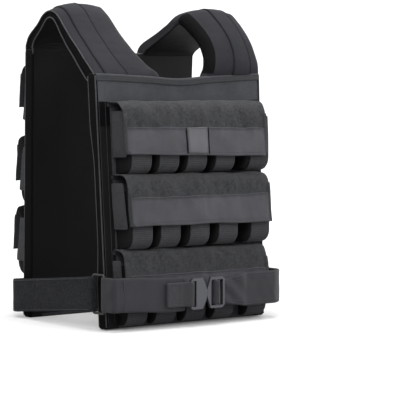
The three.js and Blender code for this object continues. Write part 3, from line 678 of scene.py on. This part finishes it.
def strap(hand, stations, seed, label, roll):
    """roll is how far the padding swells past the neck's edge, in millimetres."""
    made = Strap(hand, stations, seed)
    last = len(made.rows) - 1
    top = [0, 0.03, 0.1, 0.2, 0.3, 0.4, 0.5, 0.6, 0.7, 0.8, 0.9, 0.97, 1]
    rows = []
    for i in range(last + 1):
        share = i / last
        swell = smooth((share - 0.1) / 0.12) * smooth((0.62 - share) / 0.14)
        row = [made.point(i, across, 1) for across in top]
        row += made.wall(i, 1, -0.8)
        row += [made.point(i, across, -1) for across in reversed(top)]
        row += reversed(made.wall(i, 0, -0.5 + roll * swell))
        rows.append(row)
    count = len(top)

    # On a strap with a padded roll, the neck wall and the outer face's first two strips beside it take the
    # dark gusset cloth along the roll: painted shade where the roll turns away from the light.
    def look(i, j):
        roll_shade = roll > 2 and 0.1 < i / last < 0.5
        if roll_shade and (j < 2 or j > 2 * count + 1):
            return 2
        if j < count - 1:
            return 0
        if j < count + 3:
            return 2
        if j < 2 * count + 2:
            return 1
        return 0 if roll > 2 else 2

    body = skin(f"strap_{label}_body", rows, [STRAP, LINING, GUSSET], wrap=True, ends=True, look=look)
    piece(body, [f"strap_{label}"])
    start, end = 5, last - 4
    piped = (1.0,) if roll > 2 else (1.0, 0.0)
    edges = [made.line(across, side, -0.4 * side, start, end) for across in piped for side in (-1, 1)]
    piece(tubes(f"strap_{label}_piping", edges, 1.15, PIPING))

    half = BAND_HALF / (HALF_WIDTH * (STRAP_OUTER - 0.37))
    across_band = between(BAND_MIDDLE - half, BAND_MIDDLE + half, 8)
    lifts = [0.7] + [1.0] * 7 + [0.7]
    band_rows = []
    for i in range(start, end + 1):
        band_rows.append([made.point(i, across, 1, lift) for across, lift in zip(across_band, lifts)])
    band = skin(f"strap_{label}_webbing", band_rows, [SASH], thick=1.0)
    length = sum((b[4] - a[4]).length for a, b in zip(band_rows, band_rows[1:])) * 1000
    piece(band, [f"strap_webbing_{label}"])
    # Thin dark tubes along the webbing's edges are painted shade of the groove where the webbing is sewn
    # onto the strap.
    sides = [made.line(BAND_MIDDLE + half * share, 1, 0.9, start, end + 1) for share in (-1.015, 1.015)]
    piece(tubes(f"strap_{label}_seams", sides, 0.5, SHADE_LINE, sides=6))
    ways = [Vector((0, out.x, out.y)) for out in made.outs[start:end]]
    lines = [made.line(BAND_MIDDLE + half * share, 1, 1.5, start, end) for share in (-0.88, 0.88)]
    sew(f"strap_{label}_stitches", [(points, ways) for points in lines], SASH, radius=0.3)


strap(-1, STRAP_RIGHT, 21, "right", 1.0)
strap(1, STRAP_LEFT, 33, "left", 7.0)


# Pockets, their webbing bands and the flaps over them
def pocket_outline(full, grow):
    """(out, height above the pocket's bottom) from the rim down and round to the panel. A row
    that the belt presses flat is drawn in further at the bottom and reaches lower."""
    drawn, low = (9.0, -3.6) if full < POCKET_DEPTH else (2.0, 0.0)
    depth = full + grow
    turn = POCKET_ROUND + grow
    turn_top = low + turn - grow

    def fall(height):
        return drawn * smooth(1 - (height - 4) / 66)

    heights = between(POCKET_HEIGHT - RIM_DROP, turn_top, 10)[:-1]
    points = [(depth - fall(height), height) for height in heights]
    for angle in between(0, math.pi / 2, 8):
        height = turn_top - turn * math.sin(angle)
        points.append((depth - turn + turn * math.cos(angle) - fall(height), height))
    points += [(out, low - grow) for out in between(depth - turn - drawn, 0.8, 5)[1:]]
    return [(max(out, 0.6), height) for out, height in points]


def pocket_columns(side, pitch):
    """The middles of a row's pockets. In front the first one hangs a little further in and the
    last one a little further out."""
    out = {0: 2.5, 4: 9.0} if side < 0 else {}
    return [(column - 2) * pitch + out.get(column, 0.0) for column in range(5)]


def add_pocket(bm, side, middle, bottom, full, seed):
    """The cloth of one pocket: a tub of U-shaped rows, open at the top."""
    rows = []
    for depth, height in pocket_outline(full, -0.8):
        turn = min(5.0, depth * 0.45)
        wall = -POCKET_WIDTH / 2 * (1.0 if height > POCKET_ROUND else 0.97)
        path = [(wall, y) for y in between(0.4, depth - turn, 3)[:-1]]
        for angle in between(0, math.pi / 2, 3):
            path.append((wall + turn * (1 - math.cos(angle)), depth - turn + turn * math.sin(angle)))
        path += [(0.0, depth)] + [(-x, y) for x, y in reversed(path)]
        row = []
        for x, y in path:
            slope = RIM_DROP * (1 - y / full) * smooth((height - 40) / 60)
            swell = 0.9 * wave(seed, height / 30, x / 14, y / 18) * min(y / 8, 1.0)
            row.append(place(side, middle + x * (1 + swell * 0.02), y + swell, bottom + height + slope))
        rows.append(row)
    add_rows(bm, rows)


def pockets(side, bottom, pitch, full, label, seed):
    bm = bmesh.new()
    for column, middle in enumerate(pocket_columns(side, pitch)):
        add_pocket(bm, side, middle, bottom, full, seed + column)
    names = [f"pocket_{label}_{column}" for column in range(1, 6)]
    obj = new_object(f"pockets_{label}", bm, [POCKET], 1.4, 1)
    piece(obj, names)


def bands(side, bottom, pitch, full, label, seed):
    """The webbing sewn down the front of each pocket and round its bottom."""
    bm = bmesh.new()
    seams = []
    outline = pocket_outline(full, 0.9)
    outline[0] = (outline[0][0], POCKET_HEIGHT - RIM_DROP - 1.0)
    half = BAND_WIDTH / 2
    for column, middle in enumerate(pocket_columns(side, pitch)):
        tilt = 0.8 * wave(seed, column * 1.7)
        if label == "front_1" and column == 4:
            middle += 6.0
        rows = []
        edges = ([], [])
        for out, height in outline:
            x = middle + tilt * smooth(1 - height / POCKET_HEIGHT)
            row = []
            for share in between(-1, 1, 8):
                crown = 1.1 * (1 - share * share) * smooth(height / 30)
                sway = 0.5 * wave(seed + column, height / 40, share)
                lift = (crown + sway) * (1.0 if height > POCKET_ROUND else 0.3)
                row.append(place(side, x + share * half, out + lift, bottom + height))
            rows.append(row)
            if height > 6:
                for hand, edge in zip((-1, 1), edges):
                    edge.append(place(side, x + hand * (half - 2.4), out + 1.15, bottom + height))
        add_rows(bm, rows)
        seams += [(edge, Vector((0, side, 0))) for edge in edges]
    obj = new_object(f"bands_{label}", bm, [WEBBING], 1.4, 1)
    piece(obj)
    sew(f"bands_{label}_stitches", seams, pitch=3.4)


# How far a row's closing tabs reach above the pocket's rim, and how far they stand off its wall:
# in front on the wearer's right, and elsewhere
TAB_RISE = {"front_1": 12.0, "front_2": 17.0, "front_3": 13.0}
TAB_STAND = 7.0
TAB_CLOSE = 1.8
TAB_HEIGHT = 78


def tabs(side, bottom, pitch, full, label, seed):
    """The closing tab on the outer wall of each end pocket, under the flap's end."""
    bm = bmesh.new()
    seams = []
    top = POCKET_HEIGHT - RIM_DROP + TAB_RISE.get(label, 6.0)
    for hand, column in ((-1, 0), (1, 4)):
        wall = pocket_columns(side, pitch)[column] + hand * POCKET_WIDTH / 2
        off = TAB_STAND if side < 0 and hand < 0 else TAB_CLOSE
        rows = []
        for down in between(0, 1, 12):
            height = top - TAB_HEIGHT * down
            row = []
            for share in between(0, 1, 6):
                out = blend(4 * down, full - 9 + 9 * down, share)
                puff = math.sin(math.pi * share) * math.sin(math.pi * down) ** 0.3
                bulge = 0.9 * wave(seed + hand, height / 26, out / 14) + off + 0.7 * off * puff
                row.append(place(side, wall + hand * bulge, out, bottom + height))
            rows.append(row)
        add_rows(bm, rows)
        for drop in (14, 16.5, 75):
            lean = 9 * drop / TAB_HEIGHT
            line = []
            for share in between(0, 1, 8):
                swell = off + 1.0 + 0.7 * off * math.sin(math.pi * share)
                out = blend(1 + lean / 2, full - 10 + lean, share)
                line.append(place(side, wall + hand * swell, out, bottom + top - drop))
            seams.append((line, Vector((hand, 0, 0))))
    obj = new_object(f"tabs_{label}", bm, [TAB], 1.3, 1)
    piece(obj)
    sew(f"tabs_{label}_stitches", seams)


# A flap's cloth from the side: (way out as a share of its reach, way down as a share of its length)
FLAP_COURSE = [
    (0.0, 0.10), (0.01, 0.035), (0.1, 0.005), (0.3, 0.0), (0.52, 0.005), (0.72, 0.03), (0.87, 0.085),
    (0.955, 0.17), (0.99, 0.28), (1.005, 0.4), (1.015, 0.48), (1.03, 0.6), (1.048, 0.74), (1.064, 0.87),
    (1.08, 1.0),
]
SATIN_FROM = 0.475
# How far a flap's ends at the wearer's right and left lie off their even place
FLAP_ASIDE = {"front_1": (-7.0, 1.5), "front_2": (0.0, 2.0)}
# How far a flap lies off its even place, in millimetres up, at its wearer's right and left end:
# at the top, at the satin's seam and at the lower edge
HANG = {
    "front_1": ((0.0, -1.0), (-1.0, -7.0), (0.0, -10.0)),
    "front_2": ((4.0, -1.0), (6.5, 5.0), (5.5, 1.5)),
    "front_3": ((3.0, -2.0), (2.0, 0.0), (0.0, 0.0)),
    "back_1": ((0.0, 0.0), (1.0, -2.0), (2.0, -3.0)),
    "back_2": ((0.0, 1.0), (-2.0, 2.0), (-3.0, 2.0)),
    "back_3": ((1.0, 0.0), (2.0, -1.0), (1.0, -3.0)),
}


def flap_hang(label, share, down):
    """share is 0 at the wearer's right and 1 at their left."""
    top, shade_line, low = (blend(*ends, share) for ends in HANG[label])
    if down < SATIN_FROM:
        return blend(top, shade_line, down / SATIN_FROM)
    return blend(shade_line, low, (down - SATIN_FROM) / (1 - SATIN_FROM))


def hanging(down):
    """The place on FLAP_COURSE, nearly straight there, that is this far down the satin."""
    return 1.0 + 0.08 * (down - 0.4) / 0.6, down


def flap_point(side, top, half_width, pitch, full, label, seed, x, out_share, down, lift=0.0):
    """A point of a flap's cloth, with the sags between pockets and its waves."""
    reach = full + 4.4
    out = 1.3 + out_share * (reach - 2)
    over = math.cos(2 * math.pi * x / pitch)
    free = smooth((down - 0.1) / 0.9)
    held = smooth(out_share / 0.3)
    sag = held * (1.4 * (over - 1) / 2)
    crumple = held * (1 - 0.75 * free) * 2.6 * wave(seed, x / 26, out / 16, down * 3)
    fine = held * (1 - 0.8 * free) * 1.2 * wave(seed + 3, x / 9, out / 12, down * 7)
    drape = free * (2.6 * wave(seed + 6, x / 60, down * 1.5) + 0.8 * wave(seed + 8, x / 15, down * 2.5))
    edge = smooth((abs(x) / half_width - 0.965) / 0.035)
    curl = -1.5 * edge * free
    hang = free * free * 1.6 * wave(seed + 11, x / 70)
    uneven = flap_hang(label, (x / half_width + 1) / 2, min(down, 1.0))
    z = top - down * FLAP_LENGTHS[side] + hang + uneven + held * (1 - free) * (crumple * 0.8 + sag)
    return place(side, x, out + sag * 0.5 + crumple * 0.7 + fine + drape + curl + lift, z)


def flap(side, bottom, pitch, full, label, seed):
    """A flap with its satin, hems and stitches. Returns the function that places points on it."""
    top = bottom + POCKET_HEIGHT + FLAP_RISE
    half_width = 2 * pitch + POCKET_WIDTH / 2 + FLAP_END
    right_aside, left_aside = FLAP_ASIDE.get(label, (0.0, 0.0))

    def at(x, course_row, lift=0.0):
        out_share, down = course_row
        x += blend(right_aside, left_aside, (x / half_width + 1) / 2)
        return flap_point(side, top, half_width, pitch, full, label, seed, x, out_share, down, lift)

    course = spline(FLAP_COURSE, 2)
    xs = between(-half_width, half_width, 80)
    rows = [[at(x, row) for x in xs] for row in course]
    length = sum((b[40] - a[40]).length for a, b in zip(rows, rows[1:])) * 1000
    cloth = skin(f"flap_{label}_cloth", rows, [CANVAS], thick=1.7)
    piece(cloth, [f"flap_{label}"])

    satin_rows = [[at(x, row, 1.35) for x in xs[1:-1]] for row in course if row[1] >= SATIN_FROM]
    satin = skin(f"flap_{label}_satin", satin_rows, [SATIN], thick=0.8)
    piece(satin)

    bm = bmesh.new()
    for hand in (-1, 1):
        ends = [hand * (half_width - inset) for inset in between(5.2, -0.2, 4)]
        strip = [[at(x, row, 1.7) for x in ends] for row in course if row[1] >= 0.2]
        add_rows(bm, strip, look=lambda i, j: 1)
    for first, last in ((SATIN_FROM, SATIN_FROM + 0.03), (0.94, 1.0)):
        add_rows(bm, [[at(x, hanging(down), 1.75) for x in xs[2:-2]] for down in between(first, last, 3)])
    hems = new_object(f"flap_{label}_hems", bm, [SATIN, CANVAS], 0.7)
    piece(hems)

    face = Vector((0, side, 0.08))
    seams = []
    for down in (SATIN_FROM + 0.008, SATIN_FROM + 0.04, 0.94, 0.985):
        seams.append(([at(x, hanging(down), 2.5) for x in xs[2:-2]], face))
    legs = []
    for hand in (-1, 1):
        for inset in (1.6, 6.2):
            line = [at(hand * (half_width - inset), row, 2.2) for row in course if row[1] > 0.22]
            seams.append((line, face))
        x = hand * (half_width - 3.9)
        points = zigzag(at(x, (0.99, 0.26), 2.3), at(x, (1.07, 0.96), 2.3), face, 3.4, 1.5)
        legs += [([a, b], face) for a, b in zip(points, points[1:])]
    sew(f"flap_{label}_stitches", seams + legs, pitch=3.2)
    return at


FLAPS = {}
for side, rows, name in ((-1, FRONT_ROWS, "front"), (1, BACK_ROWS, "back")):
    for number, (bottom, pitch, full) in enumerate(rows, 1):
        label = f"{name}_{number}"
        seed = 40 + 7 * number + 60 * side
        pockets(side, bottom, pitch, full, label, seed)
        bands(side, bottom, pitch, full, label, seed + 1)
        tabs(side, bottom, pitch, full, label, seed + 2)
        FLAPS[label] = flap(side, bottom, pitch, full, label, seed + 3)


# The bare patch on the top front flap
def patch():
    at = FLAPS["front_1"]
    rows = []
    for n, down in enumerate(between(0.475, 0.965, 12)):
        row = []
        for k, x in enumerate(between(-22, 19, 12)):
            rim = 0.5 if n in (0, 12) or k in (0, 12) else 0.0
            row.append(at(x, hanging(down), 2.9 - rim))
        rows.append(row)
    obj = skin("patch_cloth", rows, [PATCH], thick=1.2)
    piece(obj, ["patch"])
    corners = ((-20, 0.495), (17, 0.495), (17, 0.945), (-20, 0.945), (-20, 0.495))
    edge = [at(x, hanging(down), 3.65) for x, down in corners]
    seams = [([a, b], Vector((0, -1, 0.08))) for a, b in zip(edge, edge[1:])]
    sew("patch_stitches", seams, pitch=2.6, length=1.9)
    # Thin dark tubes beside the patch are painted shade of the creases where the satin parts round it.
    sides = [[at(x, hanging(down), 1.9) for down in between(0.48, 0.97, 12)] for x in (-23.8, 20.8)]
    piece(tubes("patch_fold_shade", sides, 1.3, SHADE_LINE, sides=6))


patch()


# Bands that stand on edge: the belt, the side straps and the buckle's webbing
def plan_turn(bar, toward, outward, radius):
    """Points half way round an upright bar, from a band's outer face to its inner one."""
    turns = between(0, math.pi, 8)
    return [bar + outward * radius * math.cos(turn) + toward * radius * math.sin(turn) for turn in turns]


def band_rows(points, low=BELT_LOW, height=BELT_HEIGHT):
    """(x, y, low, height) rows for standing_band."""
    return [(p[0], p[1], low, height) for p in points]


def standing_band(name, course, look, thick, seed, folds=0.8, pull=()):
    """(piece, its rows). folds is the height of its soft folds, and pull its gathers, each as
    (distance along the band, height, reach)."""
    rows = []
    travelled = 0.0
    for i, (x, y, low, height) in enumerate(course):
        before = course[max(i - 1, 0)]
        after = course[min(i + 1, len(course) - 1)]
        way = Vector((after[0] - before[0], after[1] - before[1])).normalized()
        out = Vector((-way.y, way.x))
        if i:
            travelled += math.hypot(x - before[0], y - before[1])
        row = []
        for share in between(0, 1, 10):
            lift = folds * wave(seed, travelled / 20, share * 2.4)
            lift += folds * 0.5 * wave(seed + 2, travelled / 9 + share * 2.2, share)
            for centre, size, reach in pull:
                near = math.exp(-((travelled - centre) / reach) ** 2)
                lift += size * near * math.sin(9.5 * share + 0.16 * (travelled - centre))
            row.append(stand(x + out.x * lift, y + out.y * lift, low + height * share))
        rows.append(row)
    return skin(name, rows, [look], thick=thick), rows


def edge_seams(rows, insets, lift, first, end):
    """Stitch lines along a standing band, at shares of its height, on its outer face."""
    seams = []
    for inset in insets:
        at = inset * (len(rows[0]) - 1)
        k = int(at)
        points = []
        ways = []
        for i in range(first, end):
            row = rows[i]
            before = rows[max(i - 1, 0)][k]
            after = rows[min(i + 1, len(rows) - 1)][k]
            normal = (after - before).cross(row[k + 1] - row[k]).normalized()
            points.append(row[k].lerp(row[k + 1], at - k) + normal * lift / 1000)
            ways.append(normal if lift > 0 else -normal)
        seams.append((points, ways))
    return seams


RING_WIRE = 4.0
RING_WIDTH = 30.0
RING_HEIGHT = 68.0
RING_SPREAD = RING_WIDTH - RING_WIRE
BELT_THICKNESS = 3.0
RING_TURN = RING_WIRE / 2 + 0.5 + BELT_THICKNESS / 2
RINGS = {"right": (-1, 5.0, 32.0, 10.0), "left": (1, 5.0, 20.0, 4.0)}
LOW_FLAP_HALF = 2 * FRONT_ROWS[-1][1] + POCKET_WIDTH / 2 + FLAP_END


def ring_bars(label):
    """(sign, front bar, direction to the back bar, back bar) of a ring, seen from above."""
    sign, aside, ahead, turn = RINGS[label]
    front = Vector((sign * (HALF_WIDTH + aside), -(OUTER + ahead)))
    angle = math.radians(turn)
    toward = Vector((sign * math.sin(angle), math.cos(angle)))
    return sign, front, toward, front + toward * RING_SPREAD


def outward_of(toward, sign):
    across = Vector((-toward.y, toward.x))
    return across if math.copysign(1, across.x) == sign else -across


def belt_low(x):
    """The belt's lower edge, which rises toward the wearer's right."""
    return BELT_LOW + NEAR_RISE * smooth((-x - 60) / 100)


def wire_ring(label):
    sign, front, toward, back = ring_bars(label)
    middle = (front + back) / 2
    base = belt_low(front.x) + BELT_HEIGHT / 2
    half_width = RING_SPREAD / 2
    half_height = (RING_HEIGHT - RING_WIRE) / 2
    turn = 4.0
    points = []
    for u, v, start in ((1, 1, 0), (-1, 1, 90), (-1, -1, 180), (1, -1, 270)):
        for step in range(6):
            angle = math.radians(start + 18 * step)
            away = u * (half_width - turn) + turn * math.cos(angle)
            lift = v * (half_height - turn) + turn * math.sin(angle)
            spot = middle + toward * away
            points.append(stand(spot.x, spot.y, base + lift))
    ring = tubes(f"ring_{label}_wire", [points], 2.0, WIRE, sides=12, closed=True)
    piece(ring, [f"ring_{label}"])


def ring_end(bar, toward, outward):
    """A band's turn round a bar and its short end sewn under the outer layer."""
    inner = RING_TURN - BELT_THICKNESS - 0.3
    points = plan_turn(bar, toward, outward, RING_TURN)
    return points + [bar + outward * inner - toward * back for back in (5, 9, 13, 17, 22)]


def belt_to_ring(label):
    sign, front, toward, _ = ring_bars(label)
    outward = outward_of(toward, sign)
    bend = front + outward * RING_TURN - toward * 26
    start = sign * LOW_FLAP_HALF
    points = [
        Vector((start, BELT_LINE)),
        Vector((start * 0.72 + bend.x * 0.28, BELT_LINE + 0.6)),
        Vector((start * 0.35 + bend.x * 0.65, BELT_LINE * 0.6 + bend.y * 0.4)),
        bend,
        front + outward * RING_TURN - toward * 8,
    ]
    return points, ring_end(front, toward, outward)


def belt_right():
    bends, turned = belt_to_ring("right")
    start = (-35.0, BELT_LINE)
    straight = [(x, BELT_LINE) for x in between(start[0], -LOW_FLAP_HALF, 14)[:-1]]
    curved = spline(band_rows([start] + bends), 5)[5:]
    course = band_rows(straight) + curved + band_rows(turned)
    course = [(x, y, belt_low(x), height) for x, y, _, height in course]
    obj, rows = standing_band("belt_right_cloth", course, BELT, 2.4, 81, pull=((150, 0.5, 22),))
    piece(obj, ["belt_right"])
    seams = edge_seams(rows, (0.05, 0.13, 0.87, 0.95), 1.35, 0, len(straight) + 24)
    sew("belt_right_stitches", seams)


def belt_left():
    """From the buckle's bar, where it is squeezed to the webbing's height, to the ring."""
    narrow = BUCKLE_MIDDLE_HEIGHT - WEBBING_HEIGHT / 2
    over = BELT_LINE - BELT_THICKNESS - 0.3
    squeezed = [(79.0, BELT_LINE), (62.0, BELT_LINE), (44.0, BELT_LINE)]
    squeezed += plan_turn(Vector((24.0, BUCKLE_MIDDLE)), Vector((-1, 0)), Vector((0, 1)), 5.0)
    squeezed += [(27.0, BUCKLE_MIDDLE - 5.0), (36.0, over), (44.0, over)]
    rows = band_rows(squeezed, narrow, WEBBING_HEIGHT)
    for x, y, wider in ((54.0, over, 1.5), (64.0, over, 3), (76.0, over, 5), (88.0, over + 0.4, 7)):
        rows.append((x, y, narrow - wider, WEBBING_HEIGHT + 2 * wider))
    bends, turned = belt_to_ring("left")
    rows += band_rows([(98.0, BELT_LINE), (116.0, BELT_LINE), (134.0, BELT_LINE)] + bends)
    course = spline(rows, 3) + band_rows(turned)
    obj, made = standing_band("belt_left_cloth", course, BELT, 2.4, 87, folds=0.9, pull=((118, 1.0, 26),))
    piece(obj, ["belt_left"])
    sew("belt_left_stitches", edge_seams(made, (0.05, 0.15, 0.85, 0.95), 1.35, 46, len(made) - 16))


def buckle_webbing():
    """The webbing round the buckle's other bar, sewn to the belt with a boxed cross."""
    lower = BELT_LINE - 1.5 - 0.3 - 1.0
    upper = lower - 2.0 - 0.3
    low = BUCKLE_MIDDLE_HEIGHT - WEBBING_HEIGHT / 2
    plan = [(x, lower) for x in between(-77.0, -38.0, 8)]
    plan += plan_turn(Vector((-28.0, BUCKLE_MIDDLE)), Vector((1, 0)), Vector((0, 1)), 4.5)
    plan += [(-31.0, BUCKLE_MIDDLE - 4.4), (-36.0, blend(upper, BUCKLE_MIDDLE - 4.4, 0.5)), (-42.0, upper)]
    plan += [(x, upper) for x in between(-46.0, -77.0, 8)]
    course = band_rows(plan, low, WEBBING_HEIGHT)
    obj, _ = standing_band("buckle_webbing_band", course, SEWN, 1.8, 91, folds=0.25)
    piece(obj, ["buckle_webbing"])

    def box(inset):
        """The corners of the sewn box, in order round it."""
        left, right = -74.5 + inset, -49.0 - inset
        bottom, top = low + 2.5 + inset, low + WEBBING_HEIGHT - 2.5 - inset
        corners = ((left, bottom), (right, bottom), (right, top), (left, top))
        return [stand(x, upper - 1.1, z) for x, z in corners]

    out = Vector((0, -1, 0))
    corners = box(0.0)
    seams = []
    for ring in (corners, box(1.6)):
        seams += [([a, b], out) for a, b in zip(ring, ring[1:] + ring[:1])]
    seams += [([corners[0], corners[2]], out), ([corners[1], corners[3]], out)]
    sew("buckle_webbing_stitches", seams, pitch=2.4, length=1.8, radius=0.5)


def side_strap(label):
    sign, _, _, back = ring_bars(label)
    toward = Vector((0, -1))
    outward = Vector((sign, 0))
    face = OUTER + 20 * (1 - 4 / BACK_TOP) + 0.3 + BELT_THICKNESS / 2
    side = HALF_WIDTH + 11.0
    plan = [
        Vector((sign * 4, face)), Vector((sign * 40, face)), Vector((sign * HALF_WIDTH * 0.62, face)),
        Vector((sign * HALF_WIDTH * 0.84, face + 3)), Vector((sign * (HALF_WIDTH + 3), face + 10)),
        Vector((sign * (side - 3), face + 5)), Vector((sign * side, face - 8)), Vector((sign * side, 70)),
        Vector((sign * (side + 1), PANEL_THICKNESS)),
        back + outward * RING_TURN - toward * 30, back + outward * RING_TURN - toward * 6,
    ]

    def slope(points):
        rows = []
        for p in points:
            share = min(max((p.y - back.y) / (face - back.y), 0.0), 1.0)
            rows.append((p.x, p.y, blend(belt_low(back.x), BELT_LOW - 18.0, share), BELT_HEIGHT))
        return rows

    course = spline(slope(plan), 5) + slope(ring_end(back, toward, outward))
    obj, rows = standing_band(f"side_strap_{label}_cloth", course, LOOP, 2.6, 95 + sign, folds=0.9)
    width = sum((b[5] - a[5]).length for a, b in zip(rows, rows[1:])) * 1000
    piece(obj, [f"side_strap_{label}"])
    lift = 1.5 if (rows[1][0] - rows[0][0]).cross(rows[0][1] - rows[0][0]).y > 0 else -1.5
    sew(f"side_strap_{label}_stitches", edge_seams(rows, (0.05, 0.95), lift, 2, len(rows) - 14))


for label in RINGS:
    wire_ring(label)
    side_strap(label)
belt_right()
belt_left()
buckle_webbing()


# Buckle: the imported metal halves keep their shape, with broken edges
for name in ("buckle_tongue", "buckle_frame"):
    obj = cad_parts[name]
    obj.data.materials.clear()
    obj.data.materials.append(BUCKLE)
    bevel = obj.modifiers.new("edges", "BEVEL")
    bevel.width = 0.0011
    bevel.segments = 3
    bevel.limit_method = "ANGLE"
    bevel.angle_limit = math.radians(25)
    bevel.harden_normals = False


# Floor, light and camera
def stage_floor():
    """White paper that curves up behind. It glows more with its distance from the vest."""
    course = [(y, FLOOR) for y in (-6.0, -3.0, 0.0, 2.0, 3.5, 4.5)]
    for angle in between(0, math.pi / 2, 8)[1:]:
        course.append((4.5 + 1.5 * math.sin(angle), FLOOR + 1.5 * (1 - math.cos(angle))))
    course.append((6.0, FLOOR + 6.0))
    rows = [[Vector((x, y, z)) for x in (-7.0, -3.0, 3.0, 7.0)] for y, z in course]
    material, tree, shader, where = new_material("paper", {
        "Base Color": (0.36, 0.36, 0.36, 1), "Roughness": 0.9, "Specular IOR Level": 0.1,
        "Emission Color": (1, 1, 1, 1),
    })
    away = tree.nodes.new("ShaderNodeVectorMath")
    away.operation = "LENGTH"
    tree.links.new(where, away.inputs[0])
    glow = tree.nodes.new("ShaderNodeMapRange")
    dial(glow, {"From Min": 1.2, "From Max": 2.6, "To Min": 0.08, "To Max": 0.7})
    tree.links.new(away.outputs["Value"], glow.inputs["Value"])
    tree.links.new(glow.outputs["Result"], shader.inputs["Emission Strength"])
    skin("floor", rows, [material], rounds=0)


def area_light(name, where, target, size, power, color=(1, 1, 1)):
    data = bpy.data.lights.new(name, "AREA")
    data.shape = "RECTANGLE"
    data.size, data.size_y = size
    data.energy = power
    data.color = color
    obj = bpy.data.objects.new(name, data)
    obj.location = where
    obj.rotation_euler = (Vector(target) - Vector(where)).to_track_quat("-Z", "Y").to_euler()
    bpy.context.scene.collection.objects.link(obj)


FLOOR = cad_box[0][2]
stage_floor()
area_light("key", (-2.2, -2.4, 1.6), (0, 0, -0.25), (1.6, 1.6), 135)
area_light("fill", (2.6, -1.8, 0.7), (0, 0, -0.25), (1.8, 1.8), 90)
area_light("top", (0.0, -0.3, 2.4), (0, 0, -0.3), (2.2, 2.2), 165)
area_light("back", (-0.6, 2.6, 1.4), (0, 0, -0.1), (1.6, 1.2), 20)

world = bpy.data.worlds.new("studio")
world.use_nodes = True
dial(world.node_tree.nodes["Background"], {"Color": (1, 1, 1, 1), "Strength": 1.35})
bpy.context.scene.world = world
bpy.context.scene.view_settings.view_transform = "Standard"

camera_data = bpy.data.cameras.new("camera")
camera_data.sensor_width = 36.0
camera_data.lens = 183.56
camera = bpy.data.objects.new("camera", camera_data)
camera.location = (-2.1126, -2.8928, -0.0892)
heading = math.radians(37.738)
pitch = math.radians(-3.67)
camera.rotation_euler = (math.pi / 2 + pitch, 0, -heading)
bpy.context.scene.collection.objects.link(camera)
bpy.context.scene.camera = camera
